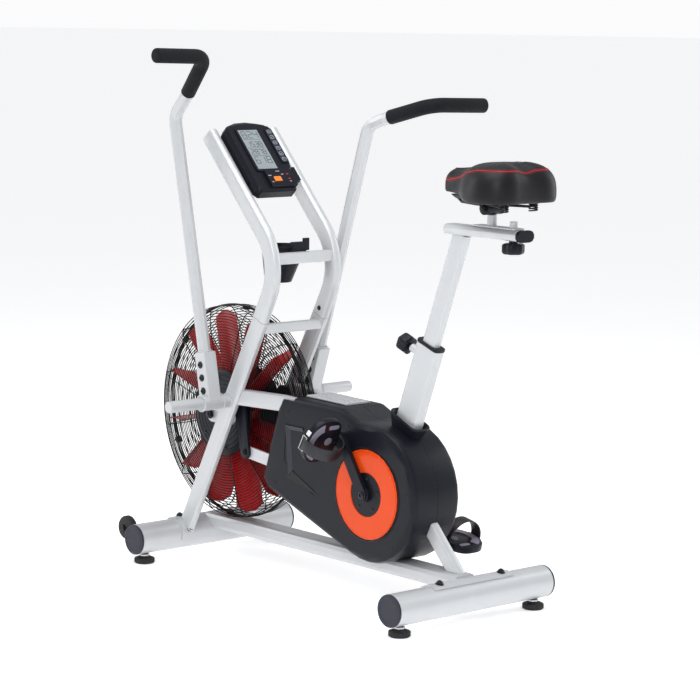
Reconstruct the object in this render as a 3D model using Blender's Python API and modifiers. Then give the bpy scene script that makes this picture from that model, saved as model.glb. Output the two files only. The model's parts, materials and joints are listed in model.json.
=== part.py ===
"""Air bike: a pedalled fan bike with swinging handlebars.

+X runs forward to the fan, +Y to the rider's left, +Z up. The origin is on the floor under the
centre of the bike's bounding box. Metres throughout.
"""
import math

import bmesh
import bpy
from mathutils import Matrix, Vector

# ---- driving dimensions ----------------------------------------------------------------------
MID_X = 0.0035                # middle of the wheelbase, from the origin
WHEELBASE = 0.946             # between the two stabilizer axes
GAP = 0.0003                  # clearance between touching pieces

STABILIZER_R = 0.038
STABILIZER_WALL = 0.002
STABILIZER_HALF = 0.2425
STABILIZER_Z = 0.0626
CAP_THICK = 0.006
FOOT_R = 0.0247
FOOT_INSET = 0.035

OVAL_LONG = 0.048             # flat-oval frame tube, fore and aft
OVAL_WIDE = 0.026             # flat-oval frame tube, side to side
FRAME_Y = 0.096               # centre plane of each upright and mast

CRANK = (-0.202, 0.264)       # crank axis, (x, z)
CRANK_LENGTH = 0.150
CRANK_ANGLE = math.radians(33)   # left crank, forward of straight up
DISC_R = 0.107
PEDAL_Y = 0.150
PEDAL_TILTS = {"left": math.radians(-118), "right": math.radians(-12)}

FAN = (0.368, 0.381)          # fan axis, (x, z)
FAN_BLADES = 12
FAN_PHASE = math.radians(-12.4)
BLADE_TIP = 0.256
BLADE_HALF = 0.038
CAGE_R = 0.2695
CAGE_CORE_R = 0.106
CAGE_SPOKES = 12

PIVOT = (0.278, 0.428)        # handlebar axis, (x, z)
ARM_Y = 0.160
ARM_R = 0.0158
GRIP_R = 0.0182
ARM_LEANS = {"left": math.radians(11.5), "right": math.radians(-17.6)}
ARM_BEND = 0.710              # up the arm to its first bend
LEVER = 0.132                 # from the axis down to the link rod

SEAT_TILT = math.radians(19.8)
SADDLE_Z = 0.981
RAIL_Z = 0.901
RAIL_HALF_HEIGHT = 0.012

CHAIN_Y = -0.0565
CHAINRING_R = 0.074
SPROCKET_R = 0.0255

# ---- colours: (r, g, b), roughness, metallic --------------------------------------------------
LOOKS = {
    "frame_paint": ((0.72, 0.73, 0.75), 0.35, 0.3),
    "black_plastic": ((0.02, 0.022, 0.028), 0.5, 0.0),
    "grey_plastic": ((0.09, 0.095, 0.11), 0.5, 0.0),
    "light_plastic": ((0.55, 0.56, 0.58), 0.6, 0.0),
    "fan_red": ((0.45, 0.01, 0.012), 0.4, 0.0),
    "disc_orange": ((0.8, 0.09, 0.02), 0.35, 0.0),
    "foam": ((0.02, 0.02, 0.025), 0.85, 0.0),
    "leather": ((0.015, 0.015, 0.018), 0.45, 0.0),
    "steel": ((0.5, 0.5, 0.5), 0.3, 1.0),
    "black_wire": ((0.01, 0.01, 0.012), 0.4, 0.0),
    "screen": ((0.45, 0.5, 0.52), 0.2, 0.0),
    "button_orange": ((0.8, 0.3, 0.06), 0.4, 0.0),
}
SIDES = {"left": 1, "right": -1}


# ---- helpers ----------------------------------------------------------------------------------
def clear_scene():
    for old in list(bpy.data.objects):
        bpy.data.objects.remove(old, do_unlink=True)


def new_collection(name):
    made = bpy.data.collections.new(name)
    bpy.context.scene.collection.children.link(made)
    return made


def make_materials():
    made = {}
    for name, (colour, roughness, metallic) in LOOKS.items():
        material = bpy.data.materials.new(name)
        material.use_nodes = True
        shader = material.node_tree.nodes["Principled BSDF"]
        shader.inputs["Base Color"].default_value = (*colour, 1)
        shader.inputs["Roughness"].default_value = roughness
        shader.inputs["Metallic"].default_value = metallic
        material.diffuse_color = (*colour, 1)
        made[name] = material
    return made


clear_scene()
PARTS = new_collection("air_bike")
CUTTERS = new_collection("cutters")
MATERIALS = make_materials()


def at(x, y, z):
    """A point given from the middle of the wheelbase."""
    return Vector((MID_X + x, y, z))


def link(obj, look=None):
    PARTS.objects.link(obj)
    if look:
        obj.data.materials.clear()
        obj.data.materials.append(MATERIALS[look])
    return obj


def smooth(obj, degrees=35):
    obj.data.shade_smooth()
    obj.data.set_sharp_from_angle(angle=math.radians(degrees))
    return obj


def finish_bmesh(name, bm, look):
    bmesh.ops.recalc_face_normals(bm, faces=bm.faces)
    mesh = bpy.data.meshes.new(name)
    bm.to_mesh(mesh)
    bm.free()
    return smooth(link(bpy.data.objects.new(name, mesh), look))


def box(name, size, centre, look="frame_paint", turn=0.0, bevel=0.0):
    """A box, turned about Y by `turn`, with an optional rounding of its edges."""
    bm = bmesh.new()
    bmesh.ops.create_cube(bm, size=1.0)
    bmesh.ops.scale(bm, vec=size, verts=bm.verts)
    if bevel:
        bmesh.ops.bevel(bm, geom=list(bm.edges), offset=bevel, segments=2, profile=0.5,
                        affect="EDGES")
    obj = finish_bmesh(name, bm, look)
    obj.matrix_world = Matrix.Translation(centre) @ Matrix.Rotation(turn, 4, "Y")
    return obj


AXIS_TURNS = {
    "X": Matrix.Rotation(math.pi / 2, 4, "Y"),
    "Y": Matrix.Rotation(-math.pi / 2, 4, "X"),
    "Z": Matrix.Identity(4),
}


def turned(name, profile, centre, axis="Z", look="black_plastic", steps=24, lean=0.0):
    """A solid of revolution. profile runs (radius, height) from the top down its outer side."""
    mesh = bpy.data.meshes.new(name)
    points = [(radius, 0.0, height) for radius, height in profile]
    closed = profile[0][0] > 0
    edges = [(i, i + 1) for i in range(len(points) - 1)]
    if closed:
        edges.append((len(points) - 1, 0))
    mesh.from_pydata(points, edges, [])
    obj = link(bpy.data.objects.new(name, mesh), look)
    screw = obj.modifiers.new("turn", "SCREW")
    screw.steps = steps
    screw.render_steps = steps
    screw.use_merge_vertices = True
    screw.merge_threshold = 0.00001
    screw.use_smooth_shade = False
    obj.matrix_world = (Matrix.Translation(centre) @ Matrix.Rotation(lean, 4, "Y")
                        @ AXIS_TURNS[axis])
    return smooth(to_mesh(obj))


def rod(name, radius, start, end, centre, axis="Y", look="steel", steps=16, bore=0.0):
    """A straight round bar or, with a bore, a sleeve, from start to end along its axis."""
    if bore:
        profile = [(radius, end), (radius, start), (bore, start), (bore, end)]
    else:
        profile = [(0.0, end), (radius, end), (radius, start), (0.0, start)]
    return turned(name, profile, centre, axis, look, steps)


def to_mesh(obj):
    """Bake a curve or a modifier stack into a plain mesh object of the same name."""
    depsgraph = bpy.context.evaluated_depsgraph_get()
    mesh = bpy.data.meshes.new_from_object(obj.evaluated_get(depsgraph))
    name, place, home = obj.name, obj.matrix_world.copy(), obj.users_collection[0]
    materials = [slot.material for slot in obj.material_slots]
    bpy.data.objects.remove(obj)
    bm = bmesh.new()
    bm.from_mesh(mesh)
    bmesh.ops.remove_doubles(bm, verts=bm.verts, dist=0.00001)
    bmesh.ops.recalc_face_normals(bm, faces=bm.faces)
    bm.to_mesh(mesh)
    bm.free()
    made = bpy.data.objects.new(name, mesh)
    home.objects.link(made)
    made.matrix_world = place
    if not mesh.materials:
        for material in materials:
            mesh.materials.append(material)
    return made


def new_curve(name, points, closed=False, flat=False):
    curve = bpy.data.curves.new(name, "CURVE")
    curve.dimensions = "2D" if flat else "3D"
    spline = curve.splines.new("POLY")
    spline.points.add(len(points) - 1)
    for slot, point in zip(spline.points, points):
        slot.co = (*point, 1.0) if len(point) == 3 else (*point, 0.0, 1.0)
    spline.use_cyclic_u = closed
    curve.render_resolution_u = 0
    return curve


def tube(name, points, radius, look="frame_paint", resolution=2):
    """A round bar along a line of points."""
    curve = new_curve(name, points)
    curve.bevel_depth = radius
    curve.bevel_resolution = resolution
    curve.use_fill_caps = True
    obj = link(bpy.data.objects.new(name, curve), look)
    return smooth(to_mesh(obj), 50)


def stadium(long, wide, steps=5):
    """Outline of a flat-oval section, long along its first axis."""
    reach = (long - wide) / 2
    outline = []
    for side in (1, -1):
        for i in range(steps + 1):
            angle = math.pi * (i / steps - 0.5)
            outline.append((side * (reach + math.cos(angle) * wide / 2),
                            side * math.sin(angle) * wide / 2))
    return outline


def rounded_rectangle(long, wide, radius, steps=2):
    outline = []
    for corner in range(4):
        across = (1, -1, -1, 1)[corner]
        up = (1, 1, -1, -1)[corner]
        for i in range(steps + 1):
            angle = (corner + i / steps) * math.pi / 2
            outline.append((across * (long / 2 - radius) + radius * math.cos(angle),
                            up * (wide / 2 - radius) + radius * math.sin(angle)))
    return outline


def section_tube(name, points, outline, look="frame_paint", twist="MINIMUM"):
    """A bar of any section, swept along a line of points.

    The outline's first axis is square to the run and stands upright, and its second is Y.
    """
    outline = [(side, deep) for deep, side in outline]
    profile = bpy.data.objects.new(name + "_section", new_curve(name + "_section", outline, True, True))
    profile.data.fill_mode = "NONE"
    CUTTERS.objects.link(profile)
    profile.hide_render = True
    profile.display_type = "WIRE"
    curve = new_curve(name, points)
    curve.bevel_mode = "OBJECT"
    curve.bevel_object = profile
    curve.use_fill_caps = True
    curve.twist_mode = twist
    obj = link(bpy.data.objects.new(name, curve), look)
    made = smooth(to_mesh(obj), 40)
    bpy.data.objects.remove(profile)
    return made


def plate(name, outline, thickness, centre, look="frame_paint", frame=None):
    """A flat plate cut to an outline. By default the outline's plane is XZ, and centre is its middle."""
    curve = new_curve(name, outline, closed=True, flat=True)
    curve.fill_mode = "BOTH"
    curve.extrude = thickness / 2
    obj = link(bpy.data.objects.new(name, curve), look)
    turn = Matrix.Rotation(math.pi / 2, 4, "X") if frame is None else frame
    obj.matrix_world = Matrix.Translation(centre) @ turn
    return smooth(to_mesh(obj))


def arc(centre, radius, start, end, steps):
    """Points of a circular arc, with the angles in degrees."""
    points = []
    for i in range(steps + 1):
        angle = math.radians(start + (end - start) * i / steps)
        points.append((centre[0] + radius * math.cos(angle), centre[1] + radius * math.sin(angle)))
    return points


def fillet(points, radius, steps=5):
    """Round each inner corner of a line of 3-D points."""
    rounded = [Vector(points[0])]
    for before, corner, after in zip(points, points[1:], points[2:]):
        corner = Vector(corner)
        first = (Vector(before) - corner).normalized()
        second = (Vector(after) - corner).normalized()
        half = first.angle(second) / 2
        reach = radius / math.tan(half)
        middle = corner + (first + second).normalized() * radius / math.sin(half)
        start = corner + first * reach - middle
        end = corner + second * reach - middle
        for i in range(steps + 1):
            share = i / steps
            swing = start.angle(end)
            point = (start * math.sin((1 - share) * swing) + end * math.sin(share * swing))
            rounded.append(middle + point / math.sin(swing))
    rounded.append(Vector(points[-1]))
    return rounded


def stash(cutter):
    """Move a tool solid out of the parts."""
    for home in list(cutter.users_collection):
        home.objects.unlink(cutter)
    CUTTERS.objects.link(cutter)
    cutter.hide_render = True
    cutter.display_type = "WIRE"


def combine(obj, tools, operation):
    """Cut or join obj with the tool solids, and bake the result."""
    for tool in tools:
        stash(tool)
        step = obj.modifiers.new(operation.lower(), "BOOLEAN")
        step.operation = operation
        step.solver = "EXACT"
        step.object = tool
    bpy.context.view_layer.update()
    made = to_mesh(obj)
    for tool in tools:
        bpy.data.objects.remove(tool)
    return smooth(made)


def cut(obj, *tools):
    return combine(obj, tools, "DIFFERENCE")


def join(obj, *tools):
    return combine(obj, tools, "UNION")


def lean_point(origin, forward, up, lean):
    """A point given in a frame that leans forward about Y from an (x, z) origin."""
    return (origin[0] + forward * math.cos(lean) + up * math.sin(lean),
            origin[1] + up * math.cos(lean) - forward * math.sin(lean))


def set_origin(obj, point):
    """Move an object's origin, and leave its shape where it is."""
    shift = obj.matrix_world.inverted() @ point
    obj.data.transform(Matrix.Translation(-shift))
    obj.matrix_world = obj.matrix_world @ Matrix.Translation(shift)
    return obj


def gather(name, pieces):
    """Put separate solids into one object, for use as one Boolean tool."""
    bm = bmesh.new()
    for piece in pieces:
        mesh = piece.data
        mesh.transform(piece.matrix_world)
        bm.from_mesh(mesh)
        bpy.data.objects.remove(piece)
    return finish_bmesh(name, bm, "frame_paint")


def wheel_axis_point(point, y=0.0):
    return at(point[0], y, point[1])


def drum(name, radius, low_y, high_y, point, look="frame_paint", steps=24):
    """A round bar along Y through an (x, z) point."""
    return rod(name, radius, low_y, high_y, wheel_axis_point(point), "Y", look, steps)


# ---- base -------------------------------------------------------------------------------------
STABILIZERS = {"rear": (-WHEELBASE / 2, STABILIZER_Z), "front": (WHEELBASE / 2, STABILIZER_Z)}
TRANSPORT_WHEEL = (0.548, 0.077)
TRANSPORT_WHEEL_Y = 0.210


def build_stabilizers():
    inner = STABILIZER_R - STABILIZER_WALL
    for end, axis in STABILIZERS.items():
        beam = rod(f"{end}_stabilizer", STABILIZER_R, -STABILIZER_HALF, STABILIZER_HALF,
                   wheel_axis_point(axis), look="frame_paint", steps=28, bore=inner)
        if end == "front":
            add_wheel_brackets(beam)
        for side, sign in SIDES.items():
            build_end_cap(f"{end}_{side}_end_cap", axis, sign, inner)
            build_foot(f"{end}_{side}_foot", axis, sign)


def add_wheel_brackets(beam):
    tools = []
    for sign in SIDES.values():
        arm_y = sign * (TRANSPORT_WHEEL_Y - 0.0155)
        tools.append(box("arm", (0.046, 0.004, 0.020), at(0.531, arm_y, 0.075)))
        pin = sorted((sign * (TRANSPORT_WHEEL_Y - 0.015), sign * (TRANSPORT_WHEEL_Y + 0.0115)))
        tools.append(drum("pin", 0.004, *pin, TRANSPORT_WHEEL, steps=12))
    join(beam, *tools)


def build_end_cap(name, axis, sign, inner):
    face = STABILIZER_HALF + GAP
    plug = inner - GAP
    profile = [(0, face + CAP_THICK), (STABILIZER_R - 0.002, face + CAP_THICK),
               (STABILIZER_R, face + CAP_THICK - 0.002), (STABILIZER_R, face), (plug, face),
               (plug, face - 0.014), (0, face - 0.014)]
    if sign < 0:
        profile = [(radius, -height) for radius, height in reversed(profile)]
    turned(name, profile, wheel_axis_point(axis), "Y", "grey_plastic", 24)


def build_foot(name, axis, sign):
    top = STABILIZER_Z - STABILIZER_R - GAP
    profile = [(0, top), (0.009, top), (0.009, 0.019), (0.014, 0.0175), (FOOT_R, 0.013),
               (FOOT_R, 0.002), (FOOT_R - 0.002, 0), (0, 0)]
    y = sign * (STABILIZER_HALF + CAP_THICK - FOOT_INSET)
    turned(name, profile, at(axis[0], y, 0), "Z", "black_plastic", 20)


def build_transport_wheels():
    for side, sign in SIDES.items():
        profile = [(0.0043, 0.0105), (0.026, 0.0105), (0.030, 0.006), (0.030, -0.006),
                   (0.026, -0.0105), (0.0043, -0.0105)]
        turned(f"{side}_transport_wheel", profile,
               wheel_axis_point(TRANSPORT_WHEEL, sign * TRANSPORT_WHEEL_Y), "Y", "black_plastic", 20)


BASE_RAIL_Z = 0.090
BASE_RAIL_HIGH = 0.040
BASE_RAIL_WIDE = 0.060
SADDLE_PLATE_R = STABILIZER_R + GAP
SADDLE_PLATE_THICK = 0.004


def saddle_plate(name, axis, start, end):
    """A curved plate that cradles a stabilizer, between two angles in degrees."""
    outline = arc((0, 0), SADDLE_PLATE_R + SADDLE_PLATE_THICK, start, end, 12)
    outline += arc((0, 0), SADDLE_PLATE_R, end, start, 12)
    return plate(name, outline, 0.250, wheel_axis_point(axis))


def build_base_rail():
    reach = WHEELBASE / 2 - 0.012
    section = rounded_rectangle(BASE_RAIL_HIGH, BASE_RAIL_WIDE, 0.012)
    rail = section_tube("base_rail", [at(-reach, 0, BASE_RAIL_Z), at(reach, 0, BASE_RAIL_Z)], section)
    rail = join(rail, saddle_plate("rear_cradle", STABILIZERS["rear"], -15, 122),
                saddle_plate("front_cradle", STABILIZERS["front"], 58, 195))
    room = [drum("beam_room", SADDLE_PLATE_R, -0.13, 0.13, axis, steps=28)
            for axis in STABILIZERS.values()]
    cut(rail, *room)


def cradle_clearance(end):
    return drum("clearance", SADDLE_PLATE_R + SADDLE_PLATE_THICK + GAP, -0.13, 0.13, STABILIZERS[end],
                steps=48)


def base_rail_room(width=0.2):
    """Everything under the base rail's top."""
    return box("base_rail_room", (1.2, width, 0.1),
               at(0, 0, BASE_RAIL_Z + BASE_RAIL_HIGH / 2 + GAP - 0.05))


# ---- seat tube and rear strut -----------------------------------------------------------------
SEAT_TUBE_LONG = 0.070
SEAT_TUBE_WIDE = 0.032
SEAT_TUBE_END = 0.3815
POST_LONG = 0.045
POST_WIDE = 0.024
POST_BOTTOM = 0.190
POST_TOP = 0.668
PIN_HEIGHT = 0.352
PIN_TIP = POST_LONG / 2 + 0.0004
STRUT = ((-0.455, 0.0835), (-0.240, 0.311))


def seat_point(along, forward=0.0, y=0.0):
    """A point on the seat tube: along it from the crank axis, and forward of its centre line."""
    x, z = lean_point(CRANK, forward, along, -SEAT_TILT)
    return at(x, y, z)


def seat_bar(name, low, high, outline, look="frame_paint"):
    return section_tube(name, [seat_point(low), seat_point(high)], outline, look)


def seat_tube_clearance(low, high, grow=GAP):
    return seat_bar("clearance", low, high,
                    rounded_rectangle(SEAT_TUBE_LONG + 2 * grow, SEAT_TUBE_WIDE + 2 * grow, 0.008))


def pin_bar(name, radius, near, far, look="frame_paint", steps=16):
    """A round bar square to the seat tube's front face, between two distances from its centre."""
    centre = seat_point(PIN_HEIGHT)
    profile = [(0, far), (radius, far), (radius, near), (0, near)]
    return turned(name, profile, centre, "Z", look, steps, lean=math.pi / 2 - SEAT_TILT)


def build_seat_tube():
    outer = rounded_rectangle(SEAT_TUBE_LONG, SEAT_TUBE_WIDE, 0.008)
    inner = rounded_rectangle(SEAT_TUBE_LONG - 0.005, SEAT_TUBE_WIDE - 0.005, 0.0055)
    shell = seat_bar("seat_tube", -0.19, SEAT_TUBE_END, outer)
    shell = join(shell, drum("bottom_bracket", 0.022, -0.036, 0.036, CRANK),
                 pin_bar("pin_boss", 0.010, SEAT_TUBE_LONG / 2 - 0.001, 0.055))
    cut(shell, seat_bar("hollow", 0.035, SEAT_TUBE_END + 0.01, inner),
        drum("spindle_bore", 0.0090, -0.04, 0.04, CRANK, steps=20),
        pin_bar("pin_bore", 0.0046, 0.020, 0.06), base_rail_room())


def build_seat_tube_bush():
    outer = rounded_rectangle(SEAT_TUBE_LONG - 0.0056, SEAT_TUBE_WIDE - 0.0056, 0.0052)
    flange = rounded_rectangle(SEAT_TUBE_LONG + 0.002, SEAT_TUBE_WIDE + 0.002, 0.009)
    bore = rounded_rectangle(POST_LONG + 2 * GAP, POST_WIDE + 2 * GAP, 0.0083)
    sleeve = seat_bar("seat_tube_bush", SEAT_TUBE_END - 0.080, SEAT_TUBE_END + 0.002, outer,
                      "black_plastic")
    sleeve = join(sleeve, seat_bar("flange", SEAT_TUBE_END + GAP, SEAT_TUBE_END + 0.008, flange))
    cut(sleeve, seat_bar("bore", SEAT_TUBE_END - 0.1, SEAT_TUBE_END + 0.02, bore),
        pin_bar("pin_bore", 0.0046, 0.010, 0.06))


RAIL_FRONT = -0.389
RAIL_REAR = -0.620
RAIL_WIDE = 0.050
RAIL_SLOT = (-0.602, -0.500)
HEIGHT_HOLES = 6
HOLE_PITCH = 0.030


def build_seat_post():
    """The post, welded under its slotted horizontal rail."""
    post = seat_bar("seat_post", POST_BOTTOM, POST_TOP, rounded_rectangle(POST_LONG, POST_WIDE, 0.008))
    rail_section = [(z, y) for y, z in stadium(RAIL_WIDE, RAIL_HALF_HEIGHT * 2)]
    rail = section_tube("rail", [at(RAIL_FRONT, 0, RAIL_Z), at(RAIL_REAR, 0, RAIL_Z)], rail_section)
    slot_middle = sum(RAIL_SLOT) / 2
    slot = box("slot", (RAIL_SLOT[1] - RAIL_SLOT[0], 0.0095, 0.05), at(slot_middle, 0, RAIL_Z))
    holes = []
    for i in range(HEIGHT_HOLES):
        hole = pin_bar("hole", 0.0046, 0.008, 0.03, steps=12)
        hole.matrix_world = Matrix.Translation(
            seat_point((2 - i) * HOLE_PITCH) - seat_point(0)) @ hole.matrix_world
        holes.append(hole)
    cut(join(post, rail), slot, gather("holes", holes))


def build_seat_hardware():
    cap_section = [(z, y) for y, z in stadium(RAIL_WIDE + 0.003, RAIL_HALF_HEIGHT * 2 + 0.003)]
    section_tube("seat_rail_cap", [at(RAIL_REAR - GAP, 0, RAIL_Z), at(RAIL_REAR - 0.009, 0, RAIL_Z)],
                 cap_section, "black_plastic")
    pin = [(0, 0.092), (0.017, 0.092), (0.021, 0.088), (0.021, 0.071), (0.017, 0.067),
           (0.008, 0.067), (0.008, 0.0553), (0.0042, 0.0553), (0.0042, PIN_TIP),
           (0, PIN_TIP)]
    knob = turned("seat_post_knob", pin, seat_point(PIN_HEIGHT), "Z", "black_plastic", 16,
                  lean=math.pi / 2 - SEAT_TILT)
    return knob


STEM = (-0.5215, 0.0)
STUD_X = -0.590
CARRIAGE_Z = RAIL_Z + RAIL_HALF_HEIGHT + GAP
CLAMP_Z = 0.957
CLAMP_R = 0.015


def build_carriage():
    base = box("seat_carriage", (0.134, 0.030, 0.004), at(-0.5415, 0, CARRIAGE_Z + 0.002), bevel=0.001)
    stem = rod("stem", 0.011, 0.003, CLAMP_Z - CLAMP_R - GAP - CARRIAGE_Z, at(STEM[0], 0, CARRIAGE_Z), "Z",
               steps=20)
    boss = rod("boss", 0.009, 0.003, 0.018, at(STUD_X, 0, CARRIAGE_Z), "Z")
    stud = rod("stud", 0.0040, -0.052, 0.010, at(STUD_X, 0, CARRIAGE_Z), "Z")
    join(base, stem, boss, stud)
    profile = [(0, -0.0525), (0.0043, -0.0525), (0.0043, -0.0249), (0.0095, -0.0249),
               (0.0095, -0.029), (0.018, -0.029), (0.026, -0.031), (0.026, -0.050),
               (0.020, -0.0545), (0, -0.0545)]
    turned("seat_rail_knob", profile, at(STUD_X, 0, CARRIAGE_Z), "Z", "black_plastic", 20)


CUSHION_RINGS = ((0.95, 0.0), (1.0, 0.014), (1.0, 0.046), (0.95, 0.066), (0.80, 0.080),
                 (0.55, 0.085))        # scale of the outline, and height over the cushion's base


def build_saddle():
    clamp = drum("saddle_clamp", CLAMP_R, -0.026, 0.026, (STEM[0], CLAMP_Z), "black_plastic")
    join(clamp, box("clamp_top", (0.050, 0.036, 0.012), at(STEM[0] - 0.004, 0, CLAMP_Z + 0.0085)))
    loft("saddle_base", [saddle_ring(0.78, CLAMP_Z + CLAMP_R + GAP), saddle_ring(0.88, SADDLE_Z - GAP)],
         "black_plastic")
    rings = [saddle_ring(scale, SADDLE_Z + height) for scale, height in CUSHION_RINGS]
    loft("saddle_cushion", rings, "leather")


# half of the saddle's outline seen from above, from its nose back: (x, half width)
SADDLE_OUTLINE = ((-0.376, 0.004), (-0.382, 0.015), (-0.396, 0.024), (-0.430, 0.031),
                  (-0.465, 0.048), (-0.492, 0.074), (-0.522, 0.096), (-0.570, 0.113),
                  (-0.612, 0.107), (-0.637, 0.088), (-0.646, 0.058), (-0.641, 0.022))
SADDLE_MIDDLE = -0.535


def saddle_ring(scale, z):
    """The saddle's outline at one height, scaled about its middle."""
    right = [(x, -half) for x, half in SADDLE_OUTLINE]
    left = [(x, half) for x, half in reversed(SADDLE_OUTLINE)]
    return [at(SADDLE_MIDDLE + (x - SADDLE_MIDDLE) * scale, y * scale, z) for x, y in right + left]


def loft(name, rings, look):
    """A solid skinned over closed rings of points that match one to one."""
    bm = bmesh.new()
    stack = [[bm.verts.new(point) for point in ring] for ring in rings]
    count = len(stack[0])
    for low, high in zip(stack, stack[1:]):
        for i in range(count):
            j = (i + 1) % count
            bm.faces.new((low[i], low[j], high[j], high[i]))
    bm.faces.new(list(reversed(stack[0])))
    bm.faces.new(stack[-1])
    return finish_bmesh(name, bm, look)


STRUT_SECTION = (0.036, 0.026)


def build_rear_strut():
    section = rounded_rectangle(*STRUT_SECTION, 0.007)
    strut = section_tube("rear_strut", [at(x, 0, z) for x, z in STRUT], section)
    cut(strut, base_rail_room(), cradle_clearance("rear"), seat_tube_clearance(-0.1, 0.15))


# ---- uprights, masts and rails ----------------------------------------------------------------
UPRIGHT_FOOT = (0.462, 0.060)
MAST_JOINT = (0.1670, 0.6405)
MAST_CORNER = (0.0960, 0.782)
MAST_TOP = (0.3710, 1.0760)
JOINT_SLIT = 0.0006
RAIL_SECTION = (0.040, 0.025)


def toward(start, end, distance):
    run = Vector((end[0] - start[0], end[1] - start[1])).normalized() * distance
    return (start[0] + run.x, start[1] + run.y)


def upright_tube(name, sign, grow=0.0):
    top = toward(MAST_JOINT, UPRIGHT_FOOT, JOINT_SLIT)
    section = stadium(OVAL_LONG + 2 * grow, OVAL_WIDE + 2 * grow)
    return section_tube(name, [wheel_axis_point(UPRIGHT_FOOT, sign * FRAME_Y),
                               wheel_axis_point(top, sign * FRAME_Y)], section)


def mast_tube(name, sign, grow=0.0):
    points = [wheel_axis_point(point, sign * FRAME_Y) for point in (MAST_JOINT, MAST_CORNER, MAST_TOP)]
    section = stadium(OVAL_LONG + 2 * grow, OVAL_WIDE + 2 * grow)
    return section_tube(name, fillet(points, 0.135, 8), section)


def build_uprights():
    for side, sign in SIDES.items():
        tube_solid = upright_tube(f"{side}_upright", sign)
        start = (0.300, FAN[1])
        outline = arc(start, 0.020, 90, 270, 6) + arc(FAN, 0.020, -90, 90, 6)
        drop_out = plate("drop_out", outline, 0.006, at(0, sign * 0.082, 0))
        tube_solid = cut(tube_solid, cradle_clearance("front"))
        tube_solid = join(tube_solid, drop_out)
        cut(tube_solid, drum("pivot_bore", 0.0103, -0.12, 0.12, PIVOT),
            drum("axle_bore", 0.0063, -0.12, 0.12, FAN, steps=16))
        mast_tube(f"{side}_mast", sign)


CROSS_MEMBERS = {"lower_cross_member": ((0.1665, 0.6160), (0.024, 0.020)),
                 "upper_cross_member": ((0.1240, 0.7900), (0.027, 0.022))}


def build_cross_members():
    for name, (point, (high, deep)) in CROSS_MEMBERS.items():
        beam = box(name, (deep, 2 * FRAME_Y - 0.010, high), wheel_axis_point(point), bevel=0.003)
        maker = mast_tube if name == "upper_cross_member" else upright_tube
        cut(beam, maker("near", 1, GAP), maker("far", -1, GAP))


def build_side_rails():
    """Twin rails from the uprights back into the shroud, closing in on the seat tube."""
    for side, sign in SIDES.items():
        points = [at(0.262, sign * 0.090, 0.4385), at(0.120, sign * 0.0545, 0.4365),
                  at(0.000, sign * 0.0300, 0.4240), at(-0.245, sign * 0.0292, 0.3920)]
        rail = section_tube(f"{side}_side_rail", points, rounded_rectangle(*RAIL_SECTION, 0.006),
                            twist="Z_UP")
        cut(rail, upright_tube("clearance", sign, GAP), seat_tube_clearance(0.0, 0.3))


# rings of the tapered bottle cup, outside then inside: (x, z, radius)
HOLDER_RINGS = ((0.218, 0.722, 0.033), (0.197, 0.814, 0.056), (0.197, 0.814, 0.053),
                (0.217, 0.726, 0.030))
HOLDER_STEPS = 24


def build_bottle_holder():
    rings = []
    for x, z, radius in HOLDER_RINGS:
        rings.append([at(px, py, z) for px, py in arc((x, 0), radius, 0, 345, HOLDER_STEPS - 1)])
    cup = loft("bottle_holder", rings, "black_plastic")
    join(cup, box("back", (0.0150, 0.040, 0.052), at(0.1431, 0, 0.8000)),
         box("tab", (0.006, 0.018, 0.030), at(0.1386, -0.020, 0.8200)))


# ---- console ----------------------------------------------------------------------------------
MAST_LEAN = math.atan2(MAST_TOP[0] - MAST_CORNER[0], MAST_TOP[1] - MAST_CORNER[1])
CONSOLE_FOOT = (0.2160, 0.9270)        # lower end of the console's hidden face
CONSOLE_LENGTH = 0.206
CONSOLE_DEPTH = 0.032
# outline of the console seen from the rider: (across, along)
CONSOLE_OUTLINE = ((0.072, 0.0), (0.081, 0.012), (0.081, 0.196), (0.070, 0.208), (0.040, 0.218),
                   (0.005, 0.220), (-0.030, 0.215), (-0.058, 0.206), (-0.064, 0.196),
                   (-0.064, 0.085), (-0.058, 0.068), (-0.046, 0.058), (-0.042, 0.006),
                   (-0.036, 0.0))
BUTTON_PLACE = (0.028, 0.015)          # along the console, and across it
BUTTON_SIZE = (0.0052, 0.021, 0.014)
BUTTON_TRAVEL = 0.0015
BUTTON_OUT = 0.009                     # the button's middle, out of the console's face


def console_point(along, depth, y=0.0):
    """A point on the console: along it from its foot, and out of its hidden face to the rider."""
    x, z = lean_point(CONSOLE_FOOT, -depth, along, MAST_LEAN)
    return at(x, y, z)


def console_box(name, size, along, depth, y=0.0, look="black_plastic", bevel=0.0):
    """size is (out of the face, across, along)."""
    return box(name, size, console_point(along, depth, y), look, MAST_LEAN, bevel)


def console_body():
    """The case: its outline skinned at several depths, with a rounded front edge."""
    middle = Vector((0.010, CONSOLE_LENGTH / 2))
    rings = []
    for depth, scale in ((0.0, 0.97), (0.004, 1.0), (CONSOLE_DEPTH - 0.006, 1.0),
                         (CONSOLE_DEPTH, 0.94)):
        ring = [middle + (Vector(point) - middle) * scale for point in CONSOLE_OUTLINE]
        rings.append([console_point(along, depth, y) for y, along in ring])
    return loft("console_body", rings, "black_plastic")


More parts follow.
